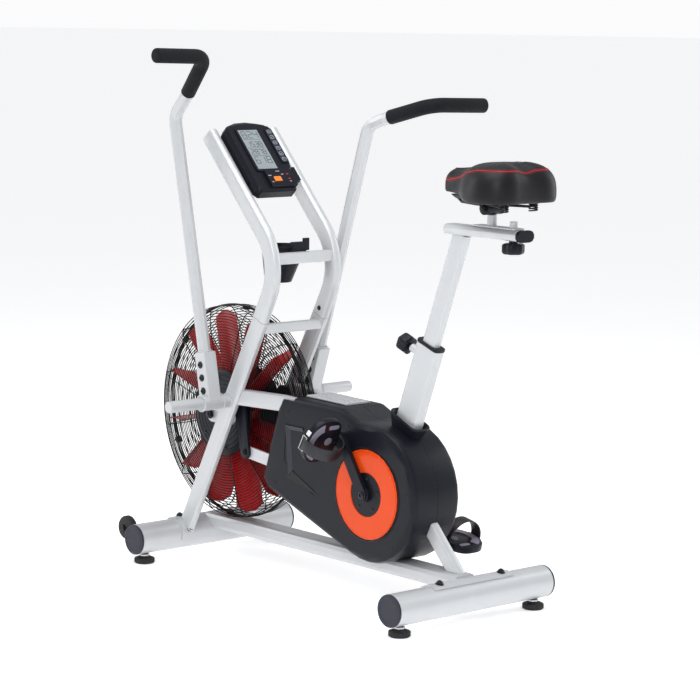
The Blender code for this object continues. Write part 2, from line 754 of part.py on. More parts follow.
def build_console():
    face = CONSOLE_DEPTH
    bracket = console_box("bracket", (0.012, 2 * (FRAME_Y - OVAL_WIDE / 2 - GAP), 0.040), 0.062, 0.010)
    ledge = console_box("ledge", (0.012, 0.082, 0.050), 0.034, face + 0.003, 0.000, bevel=0.002)
    body = join(console_body(), bracket, ledge)
    along, y = BUTTON_PLACE
    pocket = [size + 2 * GAP for size in BUTTON_SIZE]
    pocket[0] += BUTTON_TRAVEL
    cut(body, console_box("button_pocket", pocket, along, face + BUTTON_OUT - BUTTON_TRAVEL / 2, y))
    console_box("console_screen", (0.0020, 0.062, 0.124), 0.128, face + 0.0013, 0.020, "screen")
    console_box("key_strip", (0.0020, 0.018, 0.104), 0.138, face + 0.0013, -0.046, "grey_plastic")
    console_box("mode_button", BUTTON_SIZE, along, face + BUTTON_OUT, y, "button_orange")


# ---- crankset and chain -----------------------------------------------------------------------
CRANK_ARM_Y = 0.0865
DISC_FACE = 0.0782
DISC_HOLE_R = 0.0525


def build_spindle():
    spindle = drum("crank_axle", 0.0085, -0.0742, 0.0742, CRANK, "steel", 20)
    ring = [(CHAINRING_R, 0.0024), (CHAINRING_R, -0.0024), (0.006, -0.0024), (0.006, 0.0024)]
    join(spindle, turned("ring", ring, wheel_axis_point(CRANK, CHAIN_Y), "Y", "steel", 24))


def build_cranks():
    for side, sign in SIDES.items():
        disc = [(DISC_HOLE_R, DISC_FACE), (0.100, DISC_FACE), (DISC_R, DISC_FACE - 0.0015),
                (DISC_R, SHROUD_FACE + GAP), (DISC_HOLE_R, SHROUD_FACE + GAP)]
        hub = [(0, 0.0875), (0.015, 0.0875), (0.017, 0.0860), (0.017, 0.0775),
               (DISC_HOLE_R - GAP, 0.0765), (DISC_HOLE_R - GAP, SHROUD_FACE + GAP * 2),
               (0, SHROUD_FACE + GAP * 2)]
        if sign < 0:
            disc = [(r, -h) for r, h in reversed(disc)]
            hub = [(r, -h) for r, h in reversed(hub)]
        turned(f"{side}_crank_disc", disc, wheel_axis_point(CRANK), "Y", "disc_orange", 32)
        crank = turned(f"{side}_crank", hub, wheel_axis_point(CRANK), "Y", "black_plastic", 24)
        tip = pedal_axis(side)
        arm = plate("bar", capsule(CRANK, 0.0145, tip, 0.0125), 0.011, at(0, sign * CRANK_ARM_Y, 0))
        ends = sorted((sign * 0.090, sign * (PEDAL_Y + 0.040)))
        join(crank, arm, drum("pedal_pin", 0.0050, *ends, tip, steps=12))


def pedal_axis(side):
    lean = CRANK_ANGLE if side == "left" else CRANK_ANGLE + math.pi
    return (CRANK[0] + CRANK_LENGTH * math.sin(lean), CRANK[1] + CRANK_LENGTH * math.cos(lean))


def capsule(start, start_r, end, end_r, steps=8):
    """Outline round two circles and the straight sides between them."""
    run = Vector((end[0] - start[0], end[1] - start[1]))
    heading = math.degrees(math.atan2(run.y, run.x))
    slope = math.degrees(math.acos((start_r - end_r) / run.length))
    return (arc(start, start_r, heading + slope, heading + 360 - slope, steps)
            + arc(end, end_r, heading - slope, heading + slope, steps))


PEDAL_SIZE = (0.116, 0.096, 0.020)
STRAP_R = 0.050


def build_pedals():
    """Each pedal with its toe strap."""
    for side, sign in SIDES.items():
        tip = pedal_axis(side)
        centre = wheel_axis_point(tip, sign * PEDAL_Y)
        lean = PEDAL_TILTS[side]
        body = box(f"{side}_pedal", PEDAL_SIZE, centre, "black_plastic", lean, 0.005)
        outline = arc((0, 0), STRAP_R, -12, 192, 10) + arc((0, 0), STRAP_R - 0.003, 192, -12, 10)
        frame = (Matrix.Rotation(lean, 4, "Y") @ Matrix.Rotation(math.pi / 2, 4, "Z")
                 @ Matrix.Rotation(math.pi / 2, 4, "X"))
        offset = Matrix.Rotation(lean, 3, "Y") @ Vector((0.006, 0, 0.006))
        strap = plate("strap", outline, 0.032, centre + offset, "black_plastic", frame)
        inner = sorted((sign * (PEDAL_Y - 0.055), sign * (PEDAL_Y + 0.0405)))
        cut(join(body, strap), drum("bore", 0.0055, *inner, tip, steps=12))


def build_chain():
    inner = capsule(CRANK, CHAINRING_R + 0.001, FAN, SPROCKET_R + 0.001, 16)
    outer = capsule(CRANK, CHAINRING_R + 0.008, FAN, SPROCKET_R + 0.008, 16)
    loop = plate("drive_chain", outer, 0.005, at(0, CHAIN_Y, 0), "steel")
    cut(loop, plate("loop_hole", inner, 0.02, at(0, CHAIN_Y, 0)))


# ---- fan --------------------------------------------------------------------------------------
HUB_R = 0.060


def build_fan():
    drum_profile = [(0.0065, 0.034), (0.030, 0.034), (HUB_R, 0.024), (HUB_R, -0.024),
                    (0.030, -0.034), (0.0065, -0.034)]
    wheel = turned("fan_wheel", drum_profile, wheel_axis_point(FAN), "Y", "fan_red", 24)
    corner = BLADE_HALF * 0.6
    tip = arc((BLADE_TIP - corner, corner - BLADE_HALF), corner, -90, 0, 3)
    tip += arc((BLADE_TIP - corner, BLADE_HALF - corner), corner, 0, 90, 3)
    outline = [(HUB_R - 0.008, 0.022), (HUB_R - 0.008, -0.022), (0.105, -BLADE_HALF)] + tip
    outline.append((0.105, BLADE_HALF))
    blades = []
    for i in range(FAN_BLADES):
        angle = FAN_PHASE + i * 2 * math.pi / FAN_BLADES
        blades.append(plate("blade", outline, 0.0026, wheel_axis_point(FAN), "fan_red",
                            Matrix.Rotation(-angle, 4, "Y")))
    join(wheel, gather("blades", blades))
    axle = [(0, 0.091), (0.0060, 0.091), (0.0060, -0.091), (0, -0.091)]
    turned("fan_axle", axle, wheel_axis_point(FAN), "Y", "steel", 16)
    sprocket = [(0.0065, 0.0223), (0.0145, 0.0223), (0.0145, 0.0027), (SPROCKET_R, 0.0027),
                (SPROCKET_R, -0.0027), (0.0065, -0.0027)]
    turned("fan_sprocket", sprocket, wheel_axis_point(FAN, CHAIN_Y), "Y", "steel", 24)


CAGE_PROFILE = ((0.0165, 0.050), (CAGE_CORE_R, 0.050), (0.225, 0.046),
                (CAGE_R - 0.002, 0.030), (CAGE_R, 0.0035))
CAGE_BAR = 0.0020
CAGE_WALL = 0.0030


def cage_rows():
    """Radii and depths of the guard's rows: each bar has two, and the gaps lie between bars."""
    rows = [CAGE_PROFILE[0]]
    for before, here in zip(CAGE_PROFILE, CAGE_PROFILE[1:]):
        run = Vector((here[0] - before[0], here[1] - before[1])).normalized() * 2 * CAGE_BAR
        rows.append((here[0] - run.x, here[1] - run.y))
        rows.append(here)
    return rows


def build_cages():
    """Two halves of the fan guard: bars that cross rings, around a solid core."""
    rows = cage_rows()
    for side, sign in SIDES.items():
        bm = bmesh.new()
        columns = []
        for i in range(CAGE_SPOKES):
            middle = i * 2 * math.pi / CAGE_SPOKES
            half = 0.008
            for angle in (middle - half, middle + half):
                columns.append([bm.verts.new((r * math.cos(angle), sign * y, r * math.sin(angle)))
                                for r, y in rows])
        for i, column in enumerate(columns):
            after = columns[(i + 1) % len(columns)]
            on_spoke = i % 2 == 0
            for j in range(len(rows) - 1):
                on_ring = j == 0 or j % 2 == 1
                if on_spoke or on_ring:
                    bm.faces.new((column[j], column[j + 1], after[j + 1], after[j]))
        guard = finish_bmesh(f"{side}_fan_guard", bm, "black_wire")
        guard.matrix_world = Matrix.Translation(wheel_axis_point(FAN))
        shell = guard.modifiers.new("wall", "SOLIDIFY")
        shell.thickness = CAGE_WALL
        shell.offset = 0.0
        to_mesh(guard)


# ---- shroud -----------------------------------------------------------------------------------
SHROUD_ROUND = 0.165           # round of the shroud, about the crank axis
SHROUD_WALL = 0.003
SHROUD_SHOULDER = 0.058        # half width where the sides start to round over
SHROUD_FACE = 0.0740           # half width of the flat sides
SHROUD_FACE_INSET = 0.014
SHROUD_FRONT = ((0.116, 0.459), (0.132, 0.434), (0.187, 0.238), (0.172, 0.222), (0.118, 0.204))
SHROUD_BELLY = (-0.142, 0.116)
SHROUD_CREST = ((-0.156, 0.430), (-0.100, 0.455))
CAGE_NOTCH = 0.274
MOUTH = 0.040                  # how far the hollow runs out past the open front


def shroud_outline(inset, mouth=0.0):
    """The shroud's side view, shrunk by an inset; a mouth pushes its front edge forward."""
    heel = math.degrees(math.atan2(SHROUD_BELLY[1] - CRANK[1], SHROUD_BELLY[0] - CRANK[0]))
    turn = arc(CRANK, SHROUD_ROUND - inset, heel, -270, 18)
    crest = [(x, z - inset) for x, z in SHROUD_CREST]
    shift = mouth if mouth else -inset
    (top, brow, chin, jaw, belly) = SHROUD_FRONT
    front = [(top[0] + shift, top[1] - inset), (brow[0] + shift, brow[1] - inset),
             (chin[0] + shift, chin[1] + inset), (jaw[0] + shift, jaw[1] + inset),
             (belly[0], belly[1] + inset)]
    return front + turn + crest


def shroud_solid(name, side, steps, mouth=0.0):
    """Half of the shroud's form, from the middle out: steps hold (y, inset)."""
    rings = [[at(x, side * y, z) for x, z in shroud_outline(inset, mouth)] for y, inset in steps]
    return loft(name, rings, "black_plastic")


def slab(name, outline, low_y, high_y):
    """A plate between two y planes."""
    return plate(name, outline, high_y - low_y, at(0, (low_y + high_y) / 2, 0), "black_plastic")


def build_shrouds():
    """Two half shells that meet on the middle plane, hollow and open toward the fan."""
    outer = [(GAP / 2, 0.0), (SHROUD_SHOULDER, 0.0), (SHROUD_SHOULDER + 0.010, 0.004),
             (SHROUD_FACE, SHROUD_FACE_INSET)]
    inner = [(-0.01, SHROUD_WALL), (SHROUD_SHOULDER - SHROUD_WALL, SHROUD_WALL),
             (SHROUD_FACE - SHROUD_WALL, SHROUD_FACE_INSET + SHROUD_WALL)]
    for side, sign in SIDES.items():
        half = shroud_solid(f"{side}_shroud", sign, outer)
        tools = [shroud_solid("hollow", sign, inner, MOUTH),
                 drum("spindle_hole", 0.0105, *sorted((0.0, sign * 0.09)), CRANK, steps=20),
                 drum("fan_notch", CAGE_NOTCH, -0.0535, 0.0535, FAN, steps=56),
                 seat_tube_clearance(-0.2, 0.3, 0.0006), side_rail_room(),
                 base_rail_room(BASE_RAIL_WIDE + 2 * GAP),
                 rear_strut_room(),
                 slab("panel", PANEL, *sorted((sign * (SHROUD_FACE - 0.0012), sign * 0.09)))]
        cut(half, *tools)


# shallow panel pressed into each side, (x, z)
PANEL = ((0.094, 0.392), (-0.020, 0.392), (-0.052, 0.300), (-0.010, 0.232), (0.100, 0.300))


def side_rail_room():
    """Room for both side rails where they pass in through the open front."""
    return box("side_rail_room", (0.200, 0.1408, 0.0446), at(0.170, 0, 0.4370))


def rear_strut_room():
    deep, wide = STRUT_SECTION
    return section_tube("rear_strut_room", [at(x, 0, z) for x, z in STRUT],
                        rounded_rectangle(deep + 0.002, wide + 0.002, 0.007))


def build_shroud_trim():
    section_tube("step_insert", [at(0.060, 0, 0.4609), at(-0.085, 0, 0.4582)],
                 rounded_rectangle(0.005, 0.078, 0.002), "grey_plastic")
    outer = rounded_rectangle(SEAT_TUBE_LONG + 0.022, SEAT_TUBE_WIDE + 0.022, 0.014)
    bore = rounded_rectangle(SEAT_TUBE_LONG + 2 * GAP, SEAT_TUBE_WIDE + 2 * GAP, 0.008)
    cowl = seat_bar("seat_tube_cowl", 0.150, 0.190, outer, "black_plastic")
    shroud_room = slab("shroud_room", shroud_outline(-GAP), -0.07, 0.07)
    cut(cowl, seat_bar("bore", 0.10, 0.25, bore), shroud_room)


# ---- handlebars and link rods -----------------------------------------------------------------
ROD_Y = 0.0628
ROD_WIDE = 0.0054
LEVER_Y = 0.0702
LEVER_THICK = 0.0058
BRACKET_TOP = 0.125
PEG_END = 0.291
GRIP_BORE_R = 0.0164


def arm_point(side, forward, up, y):
    x, z = lean_point(PIVOT, forward, up, ARM_LEANS[side])
    return at(x, SIDES[side] * y, z)


def arm_line(side):
    """Centre line of the bar, up to the start of its grip and on to its end."""
    lower = [arm_point(side, 0.0, 0.016, ARM_Y), arm_point(side, 0.010, ARM_BEND, ARM_Y),
             arm_point(side, -0.042, 0.747, ARM_Y)]
    upper = [arm_point(side, -0.042, 0.747, ARM_Y), arm_point(side, -0.164, 0.826, 0.181),
             arm_point(side, -0.178, 0.827, 0.340)]
    return lower, upper


def build_arms():
    for side, sign in SIDES.items():
        lower, upper = arm_line(side)
        line = fillet(lower + upper[1:], 0.045, 6)
        arm = tube(f"{side}_arm", line, ARM_R, resolution=2)
        lean = ARM_LEANS[side]
        sleeve = drum("sleeve", 0.019, *sorted((sign * 0.130, sign * 0.190)), PIVOT)
        clamp = box("clamp", (0.040, 0.038, BRACKET_TOP), arm_point(side, 0, BRACKET_TOP / 2, ARM_Y),
                    turn=lean, bevel=0.004)
        shaft = drum("shaft", 0.0100, *sorted((sign * 0.0675, sign * 0.200)), PIVOT, steps=20)
        peg = drum("peg", 0.014, *sorted((sign * 0.189, sign * PEG_END)), PIVOT, "black_plastic", 20)
        collar = drum("collar", 0.017, *sorted((sign * 0.1095, sign * 0.131)), PIVOT)
        lower_end = lean_point(PIVOT, 0, -LEVER, lean)
        lever = plate("lever", capsule(PIVOT, 0.022, lower_end, 0.016), LEVER_THICK,
                      at(0, sign * LEVER_Y, 0), "black_plastic")
        arm = join(arm, sleeve, clamp, shaft, peg, collar, lever)
        cut(arm, drum("rod_bore", 0.0053, *sorted((sign * 0.05, sign * 0.08)), lower_end, steps=16))
        build_grip(side, upper)
        build_link_rod(side, sign, lower_end)


def build_grip(side, upper):
    start = Vector(upper[0]).lerp(Vector(upper[1]), 0.10)
    line = fillet([start, upper[1], Vector(upper[2])], 0.045, 6)
    overrun = (Vector(upper[2]) - Vector(upper[1])).normalized() * 0.004
    line[-1] = line[-1] + overrun
    grip = tube(f"{side}_grip", line, GRIP_R, "foam")
    bore_line = fillet([Vector(upper[0]), upper[1], Vector(upper[2]) + overrun * 0.07], 0.045, 6)
    cut(grip, tube("bore", bore_line, GRIP_BORE_R, resolution=4))


ROD_TARGET = (-0.140, 0.2590)


def build_link_rod(side, sign, lower_end):
    """The rod from a handlebar's lever back to the crank, pinned to the lever."""
    drop = lower_end[1] - 0.299
    far = (ROD_TARGET[0] + lower_end[0] - 0.25, ROD_TARGET[1] + drop)
    outline = capsule(lower_end, 0.015, far, 0.015)
    rod_plate = plate(f"{side}_link_rod", outline, ROD_WIDE, at(0, sign * ROD_Y, 0))
    pin = drum("pin", 0.0050, *sorted((sign * 0.0610, sign * 0.0738)), lower_end, steps=16)
    join(rod_plate, pin)


def centre_origins():
    """Put each moving piece's origin on its own axis."""
    for side, sign in SIDES.items():
        set_origin(bpy.data.objects[f"{side}_arm"], wheel_axis_point(PIVOT, sign * ARM_Y))
        set_origin(bpy.data.objects[f"{side}_grip"], wheel_axis_point(PIVOT, sign * ARM_Y))
        lower_end = lean_point(PIVOT, 0, -LEVER, ARM_LEANS[side])
        set_origin(bpy.data.objects[f"{side}_link_rod"], wheel_axis_point(lower_end, sign * ROD_Y))
        tip = wheel_axis_point(pedal_axis(side), sign * PEDAL_Y)
        set_origin(bpy.data.objects[f"{side}_pedal"], tip)
        set_origin(bpy.data.objects[f"{side}_crank"], wheel_axis_point(CRANK))
    set_origin(bpy.data.objects["fan_wheel"], wheel_axis_point(FAN))
    along, y = BUTTON_PLACE
    set_origin(bpy.data.objects["mode_button"], console_point(along, CONSOLE_DEPTH + BUTTON_OUT, y))
    for name in ("saddle_clamp", "saddle_base", "saddle_cushion"):
        set_origin(bpy.data.objects[name], wheel_axis_point((STEM[0], CLAMP_Z)))
    set_origin(bpy.data.objects["seat_post"], seat_point(POST_TOP))


build_stabilizers()
build_transport_wheels()
build_base_rail()
build_seat_tube()
build_seat_tube_bush()
build_seat_post()
build_seat_hardware()
build_carriage()
build_saddle()
build_rear_strut()
build_uprights()
build_cross_members()
build_side_rails()
build_bottle_holder()
build_console()
build_spindle()
build_cranks()
build_pedals()
build_chain()
build_fan()
build_cages()
build_shrouds()
build_shroud_trim()
build_arms()
centre_origins()
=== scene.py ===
"""Visual model of an air bike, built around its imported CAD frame."""
import json
import math

import bmesh
import bpy
from mathutils import Matrix, Vector
from mathutils.bvhtree import BVHTree


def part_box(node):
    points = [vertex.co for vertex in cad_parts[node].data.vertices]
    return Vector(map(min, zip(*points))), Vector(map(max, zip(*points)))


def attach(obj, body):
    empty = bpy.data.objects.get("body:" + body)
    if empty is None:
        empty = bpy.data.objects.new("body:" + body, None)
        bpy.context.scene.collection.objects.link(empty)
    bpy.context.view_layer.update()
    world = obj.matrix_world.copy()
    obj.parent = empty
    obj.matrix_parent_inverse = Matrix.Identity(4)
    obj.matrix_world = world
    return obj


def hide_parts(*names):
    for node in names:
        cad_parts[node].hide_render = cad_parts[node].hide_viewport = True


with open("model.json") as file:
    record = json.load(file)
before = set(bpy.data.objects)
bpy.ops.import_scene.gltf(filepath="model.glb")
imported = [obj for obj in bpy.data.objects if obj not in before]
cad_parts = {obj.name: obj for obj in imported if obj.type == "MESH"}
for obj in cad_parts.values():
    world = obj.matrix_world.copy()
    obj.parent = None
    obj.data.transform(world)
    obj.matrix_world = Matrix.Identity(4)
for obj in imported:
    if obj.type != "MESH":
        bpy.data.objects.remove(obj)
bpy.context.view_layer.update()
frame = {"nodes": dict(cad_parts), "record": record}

# ---- places, repeated from the CAD source, in metres -------------------------------------------
MID_X = 0.0035
FAN = Vector((0.368 + MID_X, 0, 0.381))
CRANK = Vector((-0.202 + MID_X, 0, 0.264))
PIVOT = Vector((0.278 + MID_X, 0, 0.428))
CRANK_LENGTH = 0.150
CRANK_ANGLE = math.radians(33)
SIDES = {"left": 1, "right": -1}
PEDAL_TILTS = {"left": math.radians(-118), "right": math.radians(-12)}
ARM_LEANS = {"left": math.radians(11.5), "right": math.radians(-17.6)}
PEDAL_Y = 0.150
SEAT_TILT = math.radians(19.8)
MAST_LEAN = math.atan2(0.2750, 0.2940)
CONSOLE_FOOT = Vector((0.2160 + MID_X, 0, 0.9270))
CONSOLE_DEPTH = 0.032
SHROUD_FACE = 0.0740
TAU = 2 * math.pi


# ---- materials ---------------------------------------------------------------------------------
def node(tree, kind, **inputs):
    """A new shader node, with its inputs set by name."""
    made = tree.nodes.new(kind)
    for key, value in inputs.items():
        made.inputs[key.replace("_", " ")].default_value = value
    return made


def finish_material(name, light, dark, rough, rough_span=0.10, metal=0.0, mottle=16.0, grain=1400.0,
                    bump=0.2, depth=0.0002, coat=0.0, coat_rough=0.1, stretch=(1, 1, 1),
                    cells=False, sheen=0.0, gloss=0.5):
    """A surface with two mixed tones, uneven roughness and a fine relief."""
    material = bpy.data.materials.new(name)
    material.use_nodes = True
    tree = material.node_tree
    link = tree.links.new
    shader = tree.nodes["Principled BSDF"]
    place = node(tree, "ShaderNodeTexCoord")
    mapping = node(tree, "ShaderNodeMapping", Scale=stretch)
    link(place.outputs["Object"], mapping.inputs["Vector"])
    broad = node(tree, "ShaderNodeTexNoise", Scale=mottle, Detail=6.0, Roughness=0.6)
    tones = node(tree, "ShaderNodeMix")
    tones.data_type = "RGBA"
    tones.inputs[6].default_value = (*dark, 1)
    tones.inputs[7].default_value = (*light, 1)
    wear = node(tree, "ShaderNodeTexNoise", Scale=mottle * 7, Detail=8.0, Roughness=0.7)
    span = node(tree, "ShaderNodeMapRange", From_Min=0.3, From_Max=0.7, To_Min=rough - rough_span / 2,
                To_Max=rough + rough_span / 2)
    if cells:
        fine = node(tree, "ShaderNodeTexVoronoi", Scale=grain, Randomness=1.0)
        relief = fine.outputs["Distance"]
    else:
        fine = node(tree, "ShaderNodeTexNoise", Scale=grain, Detail=3.0, Roughness=0.5)
        relief = fine.outputs["Fac"]
    bumps = node(tree, "ShaderNodeBump", Strength=bump, Distance=depth)
    for texture in (broad, wear, fine):
        link(mapping.outputs["Vector"], texture.inputs["Vector"])
    link(broad.outputs["Fac"], tones.inputs["Factor"])
    link(tones.outputs[2], shader.inputs["Base Color"])
    link(wear.outputs["Fac"], span.inputs["Value"])
    link(span.outputs["Result"], shader.inputs["Roughness"])
    link(relief, bumps.inputs["Height"])
    link(bumps.outputs["Normal"], shader.inputs["Normal"])
    shader.inputs["Metallic"].default_value = metal
    shader.inputs["Coat Weight"].default_value = coat
    shader.inputs["Coat Roughness"].default_value = coat_rough
    shader.inputs["Sheen Weight"].default_value = sheen
    shader.inputs["Specular IOR Level"].default_value = gloss
    return material


LOOKS = {
    "frame_paint": finish_material("silver_paint", (0.60, 0.615, 0.63), (0.54, 0.555, 0.575), 0.34, metal=0.2,
                                   grain=2600.0, bump=0.10, coat=0.25, coat_rough=0.25),
    "black_plastic": finish_material("black_moulding", (0.0085, 0.0095, 0.0160), (0.0050, 0.0056, 0.0100),
                                     0.36, grain=1900.0, bump=0.16, rough_span=0.12, gloss=0.22),
    "grey_plastic": finish_material("grey_moulding", (0.030, 0.032, 0.048), (0.020, 0.022, 0.034), 0.42,
                                    grain=1700.0, bump=0.25, gloss=0.3),
    "light_plastic": finish_material("light_moulding", (0.62, 0.63, 0.65), (0.54, 0.55, 0.57), 0.42),
    "fan_red": finish_material("red_paint", (0.60, 0.004, 0.006), (0.48, 0.003, 0.005), 0.34, mottle=9.0,
                               grain=900.0, bump=0.08, coat=0.25, coat_rough=0.18, gloss=0.35),
    "disc_orange": finish_material("orange_gloss", (0.80, 0.075, 0.004), (0.70, 0.055, 0.003), 0.24,
                                   grain=700.0, bump=0.03, coat=0.15, coat_rough=0.06, gloss=0.2),
    "foam": finish_material("black_foam", (0.0085, 0.0090, 0.0125), (0.0045, 0.0050, 0.0070), 0.72,
                            grain=1500.0, bump=0.45, depth=0.0004, cells=True, sheen=0.02, gloss=0.18),
    "leather": finish_material("black_leatherette", (0.0080, 0.0080, 0.0100), (0.0045, 0.0045, 0.0060), 0.42,
                               grain=620.0, bump=0.28, depth=0.0004, cells=True, rough_span=0.16, sheen=0.01,
                               gloss=0.26),
    "steel": finish_material("zinc_steel", (0.60, 0.60, 0.62), (0.42, 0.42, 0.44), 0.30, metal=1.0,
                             mottle=60.0, stretch=(1, 0.05, 1), grain=900.0, bump=0.15),
    "black_wire": finish_material("black_wire_paint", (0.0040, 0.0040, 0.0050), (0.0020, 0.0020, 0.0025),
                                  0.34, grain=2000.0, bump=0.1, gloss=0.15),
    "screen": finish_material("lcd_glass", (0.30, 0.34, 0.36), (0.24, 0.28, 0.30), 0.12, mottle=5.0,
                              grain=3000.0, bump=0.02, coat=0.8, coat_rough=0.04),
    "button_orange": finish_material("button_orange", (0.95, 0.25, 0.02), (0.85, 0.18, 0.015), 0.30,
                                     coat=0.3),
}
EXTRA = {
    "piping": finish_material("red_piping", (0.55, 0.012, 0.016), (0.38, 0.006, 0.010), 0.55, grain=2400.0,
                              bump=0.4),
    "webbing": finish_material("strap_rubber", (0.0120, 0.0125, 0.0180), (0.0070, 0.0075, 0.0110), 0.46,
                               grain=1200.0, bump=0.35),
    "pad": finish_material("pad_rubber", (0.220, 0.210, 0.270), (0.180, 0.172, 0.225), 0.60, grain=1500.0,
                           bump=0.45, depth=0.0003),
    "tread": finish_material("tread_plastic", (0.48, 0.49, 0.51), (0.40, 0.41, 0.43), 0.62, grain=800.0,
                             bump=0.6, depth=0.0005, cells=True),
    "bolt": finish_material("black_oxide_steel", (0.009, 0.009, 0.011), (0.005, 0.005, 0.006), 0.32,
                            gloss=0.4, grain=1800.0, bump=0.15),
    "reflector": finish_material("white_reflector", (0.85, 0.86, 0.88), (0.72, 0.73, 0.76), 0.15,
                                 grain=420.0, bump=0.6, depth=0.0005, cells=True, coat=0.8),
    "ink": finish_material("lcd_ink", (0.055, 0.065, 0.075), (0.040, 0.050, 0.060), 0.35),
    "mark": finish_material("pale_print", (0.42, 0.45, 0.52), (0.34, 0.37, 0.43), 0.50),
    # a deeper black than the shroud's plastic, used as painted shadow and painted shade on the shroud
    "painted_shade_black": finish_material("painted_shadow_black", (0.003, 0.003, 0.004), (0.002, 0.002, 0.003), 0.60),
    # lighter than the shroud's black moulding: painted light on facet walls that face the light
    "facet": finish_material("painted_light_facet", (0.020, 0.021, 0.032), (0.014, 0.015, 0.024), 0.40,
                             grain=1900.0, bump=0.2),
    "rubber": finish_material("foot_rubber", (0.010, 0.010, 0.012), (0.005, 0.005, 0.007), 0.60,
                              grain=1300.0, bump=0.4),
    "print_red": finish_material("red_print", (0.65, 0.03, 0.02), (0.50, 0.02, 0.015), 0.50),
}


# ---- mesh tools --------------------------------------------------------------------------------
def piece(name, bm, look, body, sharp=38, replaces=()):
    """Turns a bmesh into a shaded piece that rides on a body."""
    bmesh.ops.recalc_face_normals(bm, faces=bm.faces)
    mesh = bpy.data.meshes.new(name)
    bm.to_mesh(mesh)
    bm.free()
    mesh.polygons.foreach_set("use_smooth", [True] * len(mesh.polygons))
    mesh.set_sharp_from_angle(angle=math.radians(sharp))
    obj = bpy.data.objects.new(name, mesh)
    bpy.context.scene.collection.objects.link(obj)
    mesh.materials.append(look)
    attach(obj, body)
    if replaces:
        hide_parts(*replaces)
    return obj


def bridge(bm, rings):
    """Joins each ring of corners to the next with four-sided faces."""
    for low, high in zip(rings, rings[1:]):
        for i in range(len(low)):
            j = (i + 1) % len(low)
            bm.faces.new((low[i], low[j], high[j], high[i]))


def cap(bm, rings):
    """Closes the first and the last of a row of rings."""
    bm.faces.new(list(reversed(rings[0])))
    bm.faces.new(rings[-1])


def frame_at(origin, normal, up=(0, 0, 1)):
    """A matrix whose Z is the normal, with X as near as it can be to up."""
    z = Vector(normal).normalized()
    x = Vector(up) - Vector(up).dot(z) * z
    if x.length < 1e-6:
        x = Vector((1, 0, 0)) - z.x * z
    x.normalize()
    y = z.cross(x)
    turn = Matrix((x, y, z)).transposed().to_4x4()
    return Matrix.Translation(origin) @ turn


def lathe(bm, profile, place, steps=24):
    """Turns a profile of (radius, height) about the place's Z axis."""
    rings = []
    for radius, height in profile:
        if radius < 1e-7:
            rings.append([bm.verts.new(place @ Vector((0, 0, height)))])
            continue
        rings.append([bm.verts.new(place @ Vector((radius * math.cos(i * TAU / steps),
                                                   radius * math.sin(i * TAU / steps), height)))
                      for i in range(steps)])
    for low, high in zip(rings, rings[1:]):
        for i in range(steps):
            j = (i + 1) % steps
            corners = [low[i % len(low)], low[j % len(low)], high[j % len(high)], high[i % len(high)]]
            faces = list(dict.fromkeys(corners))
            if len(faces) > 2:
                bm.faces.new(faces)


def pipe(bm, points, radius, sides=8, closed=False, flat=1.0, across=None):
    """Sweeps a round, or a flattened, section along points."""
    points = [Vector(p) for p in points]
    count = len(points)
    rings = []
    normal = None
    for i, point in enumerate(points):
        before = points[(i - 1) % count] if closed or i else point
        after = points[(i + 1) % count] if closed or i < count - 1 else point
        run = (after - before).normalized()
        if across is not None:
            normal = Vector(across)
        elif normal is None:
            normal = run.orthogonal()
        normal = (normal - normal.dot(run) * run).normalized()
        side = run.cross(normal)
        rings.append([bm.verts.new(point + radius * (math.cos(k * TAU / sides) * normal
                                                     + flat * math.sin(k * TAU / sides) * side))
                      for k in range(sides)])
    bridge(bm, rings + rings[:1] if closed else rings)
    if not closed:
        cap(bm, rings)


def slab(bm, outline, low, high, place, soft=0.0):
    """A flat plate from an outline of (x, y), with its top edge eased inwards."""
    middle = sum((Vector(p) for p in outline), Vector((0, 0))) / len(outline)
    reach = max((Vector(p) - middle).length for p in outline)
    levels = [(low, 1.0), (high - soft, 1.0)]
    if soft:
        levels += [(high - soft * 0.3, 1 - 0.3 * soft / reach), (high, 1 - soft / reach)]
    rings = []
    for height, scale in levels:
        rings.append([bm.verts.new(place @ Vector((*(middle + (Vector(p) - middle) * scale), height)))
                      for p in outline])
    bridge(bm, rings)
    cap(bm, rings)


def rounded(width, height, radius, centre=(0, 0), steps=4):
    """Outline of a rectangle with round corners."""
    points = []
    for quarter, (sx, sy) in enumerate(((1, 1), (-1, 1), (-1, -1), (1, -1))):
        for k in range(steps + 1):
            angle = (quarter + k / steps) * math.pi / 2
            points.append((centre[0] + sx * (width / 2 - radius) + radius * math.cos(angle),
                           centre[1] + sy * (height / 2 - radius) + radius * math.sin(angle)))
    return points


def ring_points(centre, radius, steps, y=0.0):
    """A circle in the XZ plane at a given y."""
    return [Vector((centre.x + radius * math.cos(i * TAU / steps), y,
                    centre.z + radius * math.sin(i * TAU / steps))) for i in range(steps)]


def screw(bm, origin, normal, radius=0.0055, height=0.004, washer=True):
    """A button-head screw with a socket, on a washer."""
    place = frame_at(origin, normal)
    if washer:
        lathe(bm, [(radius * 1.45, -0.0004), (radius * 1.45, 0.0007), (radius * 1.3, 0.0010), (0, 0.0010)],
              place, 20)
    lathe(bm, [(radius, 0.0008), (radius, height * 0.45), (radius * 0.86, height * 0.8),
               (radius * 0.55, height), (radius * 0.45, height), (radius * 0.42, height * 0.45),
               (0, height * 0.45)], place, 18)


def nut(bm, origin, normal, radius=0.0075, height=0.006):
    """A hexagon nut on a washer, with the end of its bolt."""
    place = frame_at(origin, normal)
    lathe(bm, [(radius * 1.3, -0.0004), (radius * 1.3, 0.0010), (0, 0.0010)], place, 20)
    lathe(bm, [(radius, 0.0008), (radius, height * 0.85), (radius * 0.88, height), (radius * 0.55, height)],
          place, 6)
    lathe(bm, [(radius * 0.55, height * 0.5), (radius * 0.55, height * 1.25), (radius * 0.4, height * 1.4),
               (0, height * 1.4)], place, 14)


